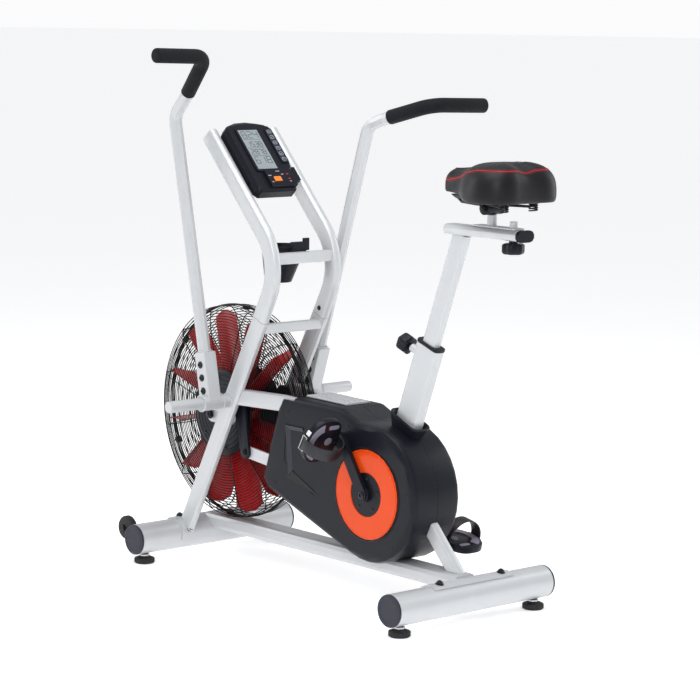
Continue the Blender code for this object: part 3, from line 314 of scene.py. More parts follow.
def lean_point(origin, forward, up, lean, y=0.0):
    """A point given forward and up from an origin, turned by a lean about Y."""
    return Vector((origin.x + forward * math.cos(lean) + up * math.sin(lean), y,
                   origin.z - forward * math.sin(lean) + up * math.cos(lean)))


# ---- carried-over CAD nodes --------------------------------------------------------------------
RUBBER_NODES = ("rear_left_foot", "rear_right_foot", "front_left_foot", "front_right_foot",
                "left_transport_wheel", "right_transport_wheel")
NODE_LOOKS = {"step_insert": EXTRA["tread"], **{name: EXTRA["rubber"] for name in RUBBER_NODES}}
PLAIN_EDGES = {"fan_axle", "crank_axle", "drive_chain"}          # nodes left without eased edges
WELD_REACH = 0.00002
EDGE_WIDTH = 0.0008
EDGE_ANGLE = math.radians(36)


def dress_nodes():
    """Gives each CAD node its finish, merged corners, eased edges and even shading."""
    slots = {part["node"]: part["material_slot"] for part in frame["record"]["subparts"]}
    for name, obj in frame["nodes"].items():
        look = NODE_LOOKS.get(name, LOOKS[slots[name]])
        for place in obj.material_slots:
            place.material = look
        mesh = obj.data
        normals = mesh.attributes.get("custom_normal")
        if normals is not None:
            mesh.attributes.remove(normals)
        mesh.polygons.foreach_set("use_smooth", [True] * len(mesh.polygons))
        weld = obj.modifiers.new("weld", "WELD")
        weld.merge_threshold = WELD_REACH
        if name not in PLAIN_EDGES:
            bevel = obj.modifiers.new("edges", "BEVEL")
            bevel.width = EDGE_WIDTH
            bevel.segments = 2
            bevel.limit_method = "ANGLE"
            bevel.angle_limit = EDGE_ANGLE
            bevel.harden_normals = False
        even = obj.modifiers.new("even", "WEIGHTED_NORMAL")
        even.weight = 60
        even.keep_sharp = False


dress_nodes()

# ---- fan and its guard -------------------------------------------------------------------------
GUARD_PROFILE = ((0.106, 0.0500), (0.225, 0.0460), (0.2570, 0.0370), (0.2668, 0.0270), (0.2690, 0.0060))
RING_STEPS = 84
WIRE_R = 0.00120
FIRST_WIRE, LAST_WIRE, WIRE_GAP = 0.1120, 0.2600, 0.0068
PADDLES = 12
PADDLE_START = math.radians(-12.4)
PADDLE_ROOT, PADDLE_TIP = 0.052, 0.256


def guard_depth(radius):
    """How far the guard stands out from the middle plane at a radius."""
    for (r0, y0), (r1, y1) in zip(GUARD_PROFILE, GUARD_PROFILE[1:]):
        if radius <= r1:
            return y0 + (y1 - y0) * (radius - r0) / (r1 - r0)
    return GUARD_PROFILE[-1][1]


def build_guard(side, sign):
    """One half of the cage: round wires, ribs, rim and its moulded core."""
    bm = bmesh.new()
    radius = FIRST_WIRE
    while radius < LAST_WIRE:
        y = sign * (guard_depth(radius) - 0.0012)
        pipe(bm, ring_points(FAN, radius, RING_STEPS, y), WIRE_R, 5, closed=True)
        radius += WIRE_GAP
    for depth in (0.0300, 0.0170):
        pipe(bm, ring_points(FAN, 0.2660 + 0.0020 * (1 - depth / 0.033), RING_STEPS, sign * depth),
             WIRE_R, 5, closed=True)
    for i in range(12):
        angle = (i + 0.5) * TAU / 12
        path = []
        for r, y in ((0.100, 0.0500), (0.165, 0.0481), (0.225, 0.0458), (0.257, 0.0368), (0.2660, 0.0265),
                     (0.2680, 0.0050)):
            path.append((FAN.x + r * math.cos(angle), sign * (y + 0.0004), FAN.z + r * math.sin(angle)))
        pipe(bm, path, 0.0013, 6)
    piece(f"{side}_guard_wires", bm, LOOKS["black_wire"], "frame",
          replaces=(f"{side}_fan_guard",))

    bm = bmesh.new()
    pipe(bm, ring_points(FAN, 0.2684, RING_STEPS, sign * 0.0030), 0.0022, 8, closed=True)
    pipe(bm, ring_points(FAN, 0.1070, RING_STEPS, sign * 0.0492), 0.0020, 8, closed=True)
    piece(f"{side}_guard_rim", bm, LOOKS["black_wire"], "frame")

    bm = bmesh.new()
    place = frame_at(FAN, (0, sign, 0))
    profile = [(0.0165, 0.0485), (0.0165, 0.0515)]
    for k in range(1, 8):
        r = 0.0165 + k * 0.0112
        profile += [(r - 0.0012, 0.0515), (r - 0.0006, 0.0502), (r + 0.0006, 0.0502), (r + 0.0012, 0.0515)]
    profile += [(0.1040, 0.0515), (0.1060, 0.0500), (0.1055, 0.0485), (0.0165, 0.0485)]
    lathe(bm, profile, place, 64)
    piece(f"{side}_guard_core", bm, LOOKS["black_plastic"], "frame")

    bm = bmesh.new()
    for i in range(6):
        angle = i * TAU / 6 + math.radians(20)
        spot = FAN + Vector((0.0880 * math.cos(angle), sign * 0.0515, 0.0880 * math.sin(angle)))
        screw(bm, spot, (0, sign, 0), 0.0036, 0.0028)
    piece(f"{side}_guard_core_screws", bm, EXTRA["bolt"], "frame")


def build_guard_clips():
    """Clips that hold the two halves of the cage together at the rim."""
    bm = bmesh.new()
    for i in range(6):
        angle = math.radians(96 + 60 * i)
        out = Vector((math.cos(angle), 0, math.sin(angle)))
        along = Vector((-math.sin(angle), 0, math.cos(angle)))
        place = Matrix((along, Vector((0, 1, 0)), out)).transposed().to_4x4()
        place.translation = FAN + out * 0.2640
        slab(bm, rounded(0.016, 0.0150, 0.003), -0.0030, 0.0066, place, 0.0015)
        screw(bm, FAN + out * 0.2680 + Vector((0, 0.0078, 0)), (0, 1, 0), 0.0026, 0.0026, False)
    piece("guard_clips", bm, LOOKS["black_plastic"], "frame")


def build_fan_wheel():
    """A hub with paddles that have a round tip, a pressed rib and a slight camber."""
    bm = bmesh.new()
    for i in range(PADDLES):
        angle = PADDLE_START + i * TAU / PADDLES
        out = Vector((math.cos(angle), 0, math.sin(angle)))
        along = Vector((-math.sin(angle), 0, math.cos(angle)))
        columns = []
        for a in range(15):
            t = a / 14
            r = PADDLE_ROOT + (PADDLE_TIP - PADDLE_ROOT) * t
            half = 0.020 + (0.0375 - 0.020) * min(1.0, max(0.0, (r - PADDLE_ROOT) / 0.055))
            short = max(0.0, r - 0.228) / 0.028
            half *= 0.30 + 0.70 * math.sqrt(max(0.0, 1 - short ** 2.6))
            column = []
            for b in range(9):
                v = -1 + 2 * b / 8
                camber = 0.0050 * v * min(1.0, max(0.0, (r - 0.06) / 0.05))
                rise = math.sin(math.pi * min(1, max(0, (r - 0.07) / 0.16)))
                rib = 0.0022 * math.exp(-(v / 0.28) ** 2) * rise
                column.append(FAN + out * r + Vector((0, v * half, 0)) + along * (camber + rib))
            columns.append(column)
        for skin in (0.0011, -0.0011):
            grid = [[bm.verts.new(p + along * skin) for p in column] for column in columns]
            for a in range(14):
                for b in range(8):
                    bm.faces.new((grid[a][b], grid[a + 1][b], grid[a + 1][b + 1], grid[a][b + 1]))
            if skin > 0:
                top = grid
        edge_a = [c[0] for c in top] + top[-1][1:] + [c[-1] for c in reversed(top[:-1])]
        edge_b = [c[0] for c in grid] + grid[-1][1:] + [c[-1] for c in reversed(grid[:-1])]
        bridge(bm, [edge_a, edge_b])
    piece("fan_paddles", bm, LOOKS["fan_red"], "fan", replaces=("fan_wheel",), sharp=50)

    bm = bmesh.new()
    place = frame_at(FAN, (0, 1, 0))
    lathe(bm, [(0.0065, 0.0340), (0.0280, 0.0340), (0.0300, 0.0325), (0.0560, 0.0245), (0.0600, 0.0215),
               (0.0600, -0.0215), (0.0560, -0.0245), (0.0300, -0.0325), (0.0280, -0.0340),
               (0.0065, -0.0340), (0.0065, 0.0340)], place, 56)
    piece("fan_hub", bm, LOOKS["fan_red"], "fan")

    bm = bmesh.new()
    for sign in SIDES.values():
        for i in range(6):
            angle = i * TAU / 6
            spot = FAN + Vector((0.043 * math.cos(angle), sign * 0.0288, 0.043 * math.sin(angle)))
            nut(bm, spot, (0.27 * math.cos(angle), sign, 0.27 * math.sin(angle)), 0.0046, 0.0035)
    piece("fan_hub_nuts", bm, EXTRA["bolt"], "fan")


def build_axle_nuts():
    """Nuts and spacers at both ends of the fan axle."""
    bm = bmesh.new()
    for sign in SIDES.values():
        nut(bm, FAN + Vector((0, sign * 0.0905, 0)), (0, sign, 0), 0.0095, 0.0070)
        lathe(bm, [(0.0125, 0.0), (0.0125, 0.010), (0.0105, 0.012), (0.0062, 0.012)],
              frame_at(FAN + Vector((0, sign * 0.0540, 0)), (0, sign, 0)), 24)
    piece("fan_axle_nuts", bm, EXTRA["bolt"], "frame")


for side, sign in SIDES.items():
    build_guard(side, sign)
build_guard_clips()
build_fan_wheel()
build_axle_nuts()


# ---- saddle ------------------------------------------------------------------------------------
SADDLE_OUTLINE = ((-0.376, 0.004), (-0.382, 0.015), (-0.396, 0.024), (-0.430, 0.031), (-0.465, 0.048),
                  (-0.492, 0.074), (-0.522, 0.096), (-0.570, 0.113), (-0.612, 0.107), (-0.637, 0.088),
                  (-0.646, 0.058), (-0.641, 0.022))
SADDLE_BASE_Z = 0.981
# height over the base, and how far in from the outline each level lies
SADDLE_LEVELS = ((0.0004, 0.030), (0.0004, 0.0125), (-0.0070, 0.0105), (-0.0085, 0.0060), (-0.0050, 0.0015),
                 (0.0040, 0.0), (0.020, 0.0), (0.036, 0.0010), (0.0485, 0.0050), (0.0600, 0.0120),
                 (0.0700, 0.0230), (0.0770, 0.0390), (0.0815, 0.0570), (0.0840, 0.0780))
SEAM_AT_NOSE, SEAM_AT_REAR = 7.0, 9.7        # where the seam lies, counted in levels


def smooth_outline(points, rounds=3):
    """Cuts the corners of a closed outline."""
    for _ in range(rounds):
        cut = []
        for a, b in zip(points, points[1:] + points[:1]):
            cut += [a.lerp(b, 0.25), a.lerp(b, 0.75)]
        points = cut
    return points


def saddle_height(x, y, level):
    """Lift of the padding: low at the nose, dished in the middle, two lobes behind."""
    back = min(1.0, max(0.0, (-0.400 - x) / 0.150))
    ease = back * back * (3 - 2 * back)
    scale = 0.60 + 0.40 * ease
    level_up = max(0.0, level)
    groove = 0.010 * math.exp(-(y / 0.020) ** 2) * ease * (level_up / 0.084) ** 2
    return SADDLE_BASE_Z + 0.009 * (1 - ease) + level * scale - groove


def build_saddle():
    """The padded cover with its piping and stitches, and the rails, springs and clamp nuts below."""
    half = [Vector((x + MID_X, -w, 0)) for x, w in SADDLE_OUTLINE]
    loop = half + [Vector((p.x, -p.y, 0)) for p in reversed(half)]
    loop = smooth_outline(loop)
    front, rear = -0.405 + MID_X, -0.575 + MID_X
    rings = []
    for level, inset in SADDLE_LEVELS:
        ring = []
        for p in loop:
            spine = Vector((min(front, max(rear, p.x)), 0, 0))
            reach = (p - spine).length
            pull = inset / max(reach, 0.030) * (0.35 + 0.65 * min(1, reach / 0.08))
            q = spine + (p - spine) * max(0.04, 1 - pull)
            ring.append(Vector((q.x, q.y, saddle_height(q.x - MID_X, q.y, level))))
        rings.append(ring)
    bm = bmesh.new()
    stack = [[bm.verts.new(p) for p in ring] for ring in rings]
    bridge(bm, stack)
    bottom = bmesh.ops.contextual_create(bm, geom=stack[0])
    top = bmesh.ops.contextual_create(bm, geom=stack[-1])
    bmesh.ops.triangulate(bm, faces=bottom["faces"] + top["faces"])
    cover = piece("saddle_cover", bm, LOOKS["leather"], "saddle", 180, ("saddle_cushion",))
    shrink = cover.modifiers.new("even", "SMOOTH")
    shrink.factor = 0.5
    shrink.iterations = 4
    finer = cover.modifiers.new("finer", "SUBSURF")
    finer.levels = finer.render_levels = 1

    bm = bmesh.new()
    bpy.context.view_layer.update()
    skin = BVHTree.FromObject(cover, bpy.context.evaluated_depsgraph_get())
    seam = []
    for i, p in enumerate(loop):
        back = min(1.0, max(0.0, (-0.380 + MID_X - p.x) / 0.190))
        at = SEAM_AT_NOSE + (SEAM_AT_REAR - SEAM_AT_NOSE) * back
        low = int(at)
        spot, normal, _, _ = skin.find_nearest(rings[low][i].lerp(rings[low + 1][i], at - low))
        seam.append((spot, normal))
    pipe(bm, [spot for spot, normal in seam], 0.0011, 8, closed=True)
    piece("saddle_piping", bm, EXTRA["piping"], "saddle")
    bm = bmesh.new()
    count = len(seam)
    for shift in (0.0036, -0.0036):
        for k in range(count):
            spots = []
            for share in (0.15, 0.80):
                spot = seam[k][0].lerp(seam[(k + 1) % count][0], share)
                normal = seam[k][1].lerp(seam[(k + 1) % count][1], share).normalized()
                run = (seam[(k + 1) % count][0] - seam[k][0]).normalized()
                near, out, _, _ = skin.find_nearest(spot + normal.cross(run) * shift)
                spots.append(near + out * 0.0001)
            pipe(bm, spots, 0.00045, 5)
    piece("saddle_stitches", bm, EXTRA["piping"], "saddle")

    bm = bmesh.new()
    for side in SIDES.values():
        rail = [(-0.420, side * 0.010, 0.9745), (-0.440, side * 0.016, 0.9660),
                (-0.490, side * 0.020, 0.9640), (-0.560, side * 0.024, 0.9640),
                (-0.598, side * 0.040, 0.9640), (-0.606, side * 0.052, 0.9700),
                (-0.606, side * 0.056, 0.9760)]
        pipe(bm, [(x + MID_X, y, z) for x, y, z in rail], 0.0032, 10)
    piece("saddle_rails", bm, EXTRA["bolt"], "saddle")
    bm = bmesh.new()
    for side in SIDES.values():
        coil = [(-0.604 + MID_X + 0.0095 * math.cos(t / 14 * TAU),
                 side * 0.046 + 0.0095 * math.sin(t / 14 * TAU),
                 0.9540 + 0.0245 * t / 70) for t in range(71)]
        pipe(bm, coil, 0.0017, 8)
    piece("saddle_springs", bm, EXTRA["bolt"], "saddle")
    bm = bmesh.new()
    for side in SIDES.values():
        nut(bm, Vector((-0.5215 + MID_X, side * 0.026, 0.957)), (0, side, 0), 0.0080, 0.0065)
    piece("saddle_clamp_nuts", bm, EXTRA["bolt"], "saddle")


build_saddle()


# ---- pedals ------------------------------------------------------------------------------------
STRAP_X = -0.004
PEDAL_LONG, PEDAL_WIDE = 0.0565, 0.0465          # half sizes of the body


def pedal_frame(side, sign):
    """Matrix with local x to the toe, y outwards and z out of the tread."""
    lean = CRANK_ANGLE + (0 if sign > 0 else math.pi)
    tip = CRANK + Vector((CRANK_LENGTH * math.sin(lean), sign * PEDAL_Y, CRANK_LENGTH * math.cos(lean)))
    turn = Matrix.Rotation(PEDAL_TILTS[side], 4, "Y") @ Matrix.Diagonal((1, sign, 1, 1))
    return Matrix.Translation(tip) @ turn


def pedal_outline(scale=1.0):
    """Outline of the pedal's body, squarer towards the crank."""
    points = []
    for i in range(48):
        angle = i * TAU / 48
        c, s = math.cos(angle), math.sin(angle)
        power = 0.62 if s < 0 else 0.86
        points.append((PEDAL_LONG * scale * math.copysign(abs(c) ** power, c),
                       PEDAL_WIDE * scale * math.copysign(abs(s) ** power, s)))
    return points


def banana(inner, outer, low, high, steps=18):
    """Outline of a curved pad between two arcs, from one angle to another."""
    outline = []
    for k in range(steps + 1):
        angle = math.radians(low + (high - low) * k / steps)
        outline.append((outer * math.cos(angle), outer * 0.86 * math.sin(angle)))
    for k in range(steps + 1):
        angle = math.radians(high - (high - low) * k / steps)
        outline.append((inner * math.cos(angle), inner * 0.86 * math.sin(angle)))
    return outline


def build_pedal(side, sign):
    """One pedal: body, pads, toe strap with eyelets and buckle, reflector and spindle flats."""
    place = pedal_frame(side, sign)
    flip = Matrix.Diagonal((1, 1, -1, 1))
    body = f"{side}_pedal"
    bm = bmesh.new()
    slab(bm, pedal_outline(1.04), 0.0, 0.0085, place, 0.0022)
    slab(bm, pedal_outline(1.04), 0.0, 0.0085, place @ flip, 0.0022)
    lathe(bm, [(0.0052, -0.053), (0.0115, -0.053), (0.0125, -0.050), (0.0125, -0.030), (0.0052, -0.030)],
          place @ Matrix.Rotation(-math.pi / 2, 4, "X"), 28)
    slab(bm, rounded(0.040, 0.012, 0.003, (0, 0.044)), -0.0095, 0.0095, place, 0.001)
    piece(f"{side}_pedal_tread", bm, LOOKS["black_plastic"], body,
          replaces=(f"{side}_pedal",))
    bm = bmesh.new()
    for turn in (place, place @ flip):
        slab(bm, banana(0.0320, 0.0525, 15, 165), 0.0080, 0.0106, turn, 0.0008)
        slab(bm, [(0.0105 * math.cos(a * TAU / 24), -0.0170 + 0.0105 * math.sin(a * TAU / 24))
                  for a in range(24)], 0.0080, 0.0102, turn, 0.0008)
        for x in (-0.040, 0.040):
            slab(bm, rounded(0.011, 0.030, 0.004, (x, -0.020)), 0.0080, 0.0100, turn, 0.0008)
    piece(f"{side}_pedal_pads", bm, EXTRA["pad"], body)

    path = []
    for k in range(41):
        angle = math.radians(-14 + 208 * k / 40)
        swell = 1 + 0.03 * math.sin(angle * 3)
        path.append(place @ Vector((STRAP_X, 0.0500 * math.cos(angle) * swell,
                                    0.006 + 0.0510 * math.sin(angle))))
    path += [place @ Vector((STRAP_X, y, z)) for y, z in ((-0.044, -0.0115), (-0.020, -0.0125),
                                                         (0.020, -0.0125), (0.044, -0.0115))]
    bm = bmesh.new()
    across = (place.to_3x3() @ Vector((1, 0, 0))).normalized()
    flat_ring(bm, path, across, 0.0155, 0.0013)
    piece(f"{side}_toe_strap", bm, EXTRA["webbing"], body, sharp=60)
    bm = bmesh.new()
    for k in range(7):
        angle = math.radians(28 + 9.5 * k)
        out = Vector((0, math.cos(angle), math.sin(angle)))
        spot = place @ (Vector((STRAP_X, 0, 0.006)) + out * 0.0512)
        lathe(bm, [(0.0024, 0), (0.0024, 0.0006), (0.0019, 0.0010), (0.0012, 0.0010),
                   (0.0010, 0.0002), (0, 0.0002)],
              frame_at(spot, place.to_3x3() @ out), 14)
    piece(f"{side}_strap_eyelets", bm, EXTRA["bolt"], body)
    bm = bmesh.new()
    for x in (STRAP_X - 0.0185, STRAP_X + 0.0185):
        pipe(bm, [place @ Vector((x, 0.0500, z)) for z in (-0.009, -0.002, 0.005)], 0.0012, 8)
    for z in (-0.009, 0.005):
        pipe(bm, [place @ Vector((STRAP_X + x, 0.0506, z)) for x in (-0.0185, 0.0, 0.0185)], 0.0012, 8)
    piece(f"{side}_strap_buckle", bm, LOOKS["steel"], body)
    bm = bmesh.new()
    slab(bm, rounded(0.012, 0.014, 0.002), 0.0, 0.0030,
         frame_at(place @ Vector((0.024, 0.0435, 0)), place.to_3x3() @ Vector((0.25, 1.0, 0)),
                  place.to_3x3() @ Vector((0, 0, 1))), 0.0006)
    piece(f"{side}_pedal_reflectors", bm, EXTRA["reflector"], body)
    bm = bmesh.new()
    lathe(bm, [(0.0090, -0.0600), (0.0100, -0.0590), (0.0100, -0.0545), (0.0060, -0.0535)],
          place @ Matrix.Rotation(-math.pi / 2, 4, "X"), 6)
    piece(f"{side}_pedal_flats", bm, LOOKS["steel"], body)


def flat_ring(bm, path, across, half, thick):
    """A flat closed band along a path, wide in one fixed direction."""
    count = len(path)
    rings = []
    for i, point in enumerate(path):
        run = (path[(i + 1) % count] - path[i - 1]).normalized()
        out = run.cross(across).normalized()
        corners = ((-half, -thick), (-half + 0.001, -thick * 1.5), (half - 0.001, -thick * 1.5),
                   (half, -thick), (half, thick), (half - 0.0015, thick * 1.5),
                   (-half + 0.0015, thick * 1.5), (-half, thick))
        rings.append([bm.verts.new(point + across * u + out * v) for u, v in corners])
    bridge(bm, rings + rings[:1])


for side, sign in SIDES.items():
    build_pedal(side, sign)


# ---- cranks ------------------------------------------------------------------------------------
def build_crank_details():
    """Screws and beads on the discs, and the shroud's ring round each of them."""
    for side, sign in SIDES.items():
        bm = bmesh.new()
        for i in range(5):
            angle = i * TAU / 5 + 0.35
            spot = CRANK + Vector((0.0385 * math.cos(angle), sign * 0.0770, 0.0385 * math.sin(angle)))
            screw(bm, spot, (0, sign, 0), 0.0032, 0.0022)
        place = frame_at(CRANK + Vector((0, sign * 0.0915, 0)), (0, sign, 0))
        lathe(bm, [(0.0095, 0), (0.0095, 0.0016), (0.0080, 0.0030), (0.0050, 0.0034),
                   (0.0044, 0.0012), (0, 0.0012)], place, 28)
        piece(f"{side}_crank_screws", bm, EXTRA["bolt"], "crankset")
        bm = bmesh.new()
        for radius in (0.0545, 0.1035):
            pipe(bm, ring_points(CRANK, radius, 72, sign * 0.0776), 0.0011, 8, closed=True)
        piece(f"{side}_disc_beads", bm, LOOKS["disc_orange"], "crankset")
        bm = bmesh.new()
        pipe(bm, ring_points(CRANK, 0.1105, 84, sign * 0.0738), 0.0022, 8, closed=True)
        piece(f"{side}_shroud_ring", bm, LOOKS["black_plastic"], "frame")


build_crank_details()


# ---- shroud, step and seat ---------------------------------------------------------------------
SHROUD_SCREWS = ((0.0869, 0.4215), (-0.3410, 0.2829), (-0.2900, 0.1500), (0.1300, 0.2420),
                 (-0.1300, 0.4180))


def build_shroud_details():
    """Raised facets in a lighter plastic that is painted light, a deep black triangle of painted shadow under
    the panel's edge, deep black discs of painted shade in the screw wells, and screws, on both sides of the
    shroud.
    """
    for side, sign in SIDES.items():
        place = Matrix(((1, 0, 0, MID_X), (0, 0, sign, 0), (0, 1, 0, 0), (0, 0, 0, 1)))
        face = SHROUD_FACE - 0.0012
        # The facets take a lighter plastic than the shroud: painted light on walls that face the light.
        bm = bmesh.new()
        wedge(bm, place, face, (((0.094, 0.389), (0.080, 0.268), (0.068, 0.281), (0.078, 0.379)),
                                (0.0040, 0.0040, 0.0002, 0.0002)))
        wedge(bm, place, face, (((0.094, 0.389), (0.078, 0.379), (0.032, 0.380), (0.030, 0.389)),
                                (0.0040, 0.0002, 0.0002, 0.0030)))
        piece(f"{side}_shroud_facets", bm, EXTRA["facet"], "frame", sharp=20)
        # A deep black triangle under the panel's lower edge: painted shadow of its overhang.
        bm = bmesh.new()
        wedge(bm, place, face, (((0.094, 0.262), (0.068, 0.279), (-0.034, 0.2320)), (0.0016, 0.0016, 0.0016)))
        piece(f"{side}_shroud_painted_shadow", bm, EXTRA["painted_shade_black"], "frame", sharp=20)
        # Deep black discs round the screws: painted shade in the screw wells.
        bm = bmesh.new()
        for x, z in SHROUD_SCREWS:
            spot = Vector((x + MID_X, sign * (SHROUD_FACE - 0.0002), z))
            lathe(bm, [(0.0062, 0), (0.0062, 0.0005), (0.0050, 0.0008), (0.0046, 0.0001), (0, 0.0001)],
                  frame_at(spot, (0, sign, 0)), 24)
        piece(f"{side}_shroud_screw_well_shade", bm, EXTRA["painted_shade_black"], "frame")
        bm = bmesh.new()
        for x, z in SHROUD_SCREWS:
            spot = Vector((x + MID_X, sign * (SHROUD_FACE - 0.0012), z))
            screw(bm, spot, (0, sign, 0), 0.0034, 0.0018, False)
        piece(f"{side}_shroud_screws", bm, EXTRA["bolt"], "frame")


def wedge(bm, place, base, shape):
    """A low solid over an outline of (x, z), with its own height at each corner."""
    outline, heights = shape
    low = [bm.verts.new(place @ Vector((x, z, base))) for x, z in outline]
    high = [bm.verts.new(place @ Vector((x, z, base + h))) for (x, z), h in zip(outline, heights)]
    bridge(bm, [low, high])
    cap(bm, [low, high])


def build_step_ribs():
    """Rows of low studs on the step."""
    bm = bmesh.new()
    for k in range(15):
        x = 0.052 - 0.0092 * k + MID_X
        z = 0.4634 + (x - MID_X - 0.060) * 0.0186
        for y in range(-3, 4):
            lathe(bm, [(0.0034, -0.0010), (0.0030, 0.0009), (0.0016, 0.0014), (0, 0.0015)],
                  frame_at(Vector((x, y * 0.0100 + (0.005 if k % 2 else 0) - 0.0025, z)), (0, 0, 1)), 8)
    piece("step_studs", bm, EXTRA["tread"], "frame")


def knob(bm, place, radius, depth, lobes, swell):
    """A hand knob with a lobed grip and a domed end."""
    rings = []
    for height, scale in ((0, 0.80), (0.0015, 0.93), (0.004, 1.0), (depth - 0.006, 1.0),
                          (depth - 0.002, 0.92), (depth, 0.76), (depth + 0.0006, 0.45)):
        ring = []
        for i in range(lobes * 8):
            angle = i * TAU / (lobes * 8)
            r = radius * scale * (1 - swell + swell * math.cos(lobes * angle))
            ring.append(bm.verts.new(place @ Vector((r * math.cos(angle), r * math.sin(angle), height))))
        rings.append(ring)
    bridge(bm, rings)
    cap(bm, rings)


def build_knobs():
    """The carriage's hand knob and the lobed grip of the seat post's pull pin."""
    low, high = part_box("seat_rail_knob")
    centre = (low + high) / 2
    bm = bmesh.new()
    place = frame_at(Vector((centre.x, centre.y, high.z - 0.0055)), (0, 0, -1))
    knob(bm, place, 0.0262, high.z - 0.0055 - low.z, 6, 0.07)
    lathe(bm, [(0.0048, -0.0048), (0.0098, -0.0048), (0.0105, 0.0), (0.0105, 0.0020)], place, 24)
    piece("seat_rail_star_knob", bm, LOOKS["black_plastic"], "seat_rail_knob",
          replaces=("seat_rail_knob",))
    axis = Vector((math.cos(SEAT_TILT), 0, math.sin(SEAT_TILT)))
    foot = CRANK + Vector((-0.352 * math.sin(SEAT_TILT), 0, 0.352 * math.cos(SEAT_TILT)))
    bm = bmesh.new()
    top = max((v.co - foot).dot(axis) for v in frame["nodes"]["seat_post_knob"].data.vertices)
    knob(bm, frame_at(foot + axis * (top - 0.030), axis), 0.0232, 0.0296, 6, 0.07)
    piece("seat_post_star_knob", bm, LOOKS["black_plastic"], "seat_post_knob")


def build_cowl():
    """The flared boot round the seat tube's foot."""
    axis = Vector((-math.sin(SEAT_TILT), 0, math.cos(SEAT_TILT)))
    turn = Matrix((Vector((math.cos(SEAT_TILT), 0, math.sin(SEAT_TILT))), Vector((0, 1, 0)),
                   axis)).transposed().to_4x4()
    turn.translation = CRANK
    bm = bmesh.new()
    rings = []
    for up, long, wide, slope in ((0.128, 0.076, 0.037, 0.0), (0.160, 0.080, 0.041, 0.0),
                                  (0.184, 0.094, 0.053, 0.002), (0.192, 0.098, 0.057, 0.004),
                                  (0.1945, 0.096, 0.055, 0.004),
                                  (0.1925, 0.090, 0.050, 0.004), (0.176, 0.074, 0.0355, 0.0),
                                  (0.150, 0.0712, 0.0335, 0.0)):
        outline = rounded(long, wide, min(0.014, wide * 0.3), (0, 0), 5)
        rings.append([bm.verts.new(turn @ Vector((x, y, up + slope * x / 0.05))) for x, y in outline])
    bridge(bm, rings)
    piece("seat_tube_boot", bm, LOOKS["black_plastic"], "frame", 60, ("seat_tube_cowl",))


build_shroud_details()
build_cowl()
build_step_ribs()
build_knobs()


# ---- console -----------------------------------------------------------------------------------
def console_frame():
    """Matrix with x to the rider's right, y up the console and z out of its face."""
    along = Vector((math.sin(MAST_LEAN), 0, math.cos(MAST_LEAN)))
    out = Vector((-math.cos(MAST_LEAN), 0, math.sin(MAST_LEAN)))
    turn = Matrix((Vector((0, -1, 0)), along, out)).transposed().to_4x4()
    turn.translation = CONSOLE_FOOT + out * CONSOLE_DEPTH
    return turn


SEGMENTS = {"top": (0, 1, 0), "mid": (0, 0, 0), "low": (0, -1, 0), "tl": (-1, .5, 1), "tr": (1, .5, 1),
            "bl": (-1, -.5, 1), "br": (1, -.5, 1)}
DIGITS = ("top tl tr mid bl br low", "tr br", "top tr mid bl low", "top tr mid br low", "tl tr mid br",
          "top tl mid br low", "top tl mid bl br low", "top tr br", "top tl tr mid bl br low")


def digit(bm, place, x, y, width, height, parts):
    """A seven-segment figure."""
    for name in parts.split():
        u, v, upright = SEGMENTS[name]
        long = height / 2 - 0.0012 if upright else width - 0.0012
        w, h = (0.0013, long) if upright else (long, 0.0013)
        slab(bm, rounded(w, h, 0.0005, (x + u * width / 2, y + v * height / 2), 2), 0.0, 0.0003, place)


def outline_ring(bm, place, width, height, radius, thick, centre, low, high):
    """A raised frame round a rectangle with round corners."""
    outer = rounded(width, height, radius, centre)
    inner = rounded(width - 2 * thick, height - 2 * thick, max(0.0004, radius - thick), centre)
    rings = [[bm.verts.new(place @ Vector((x, y, z))) for x, y in shape]
             for shape, z in ((outer, low), (outer, high), (inner, high), (inner, low))]
    bridge(bm, rings + rings[:1])


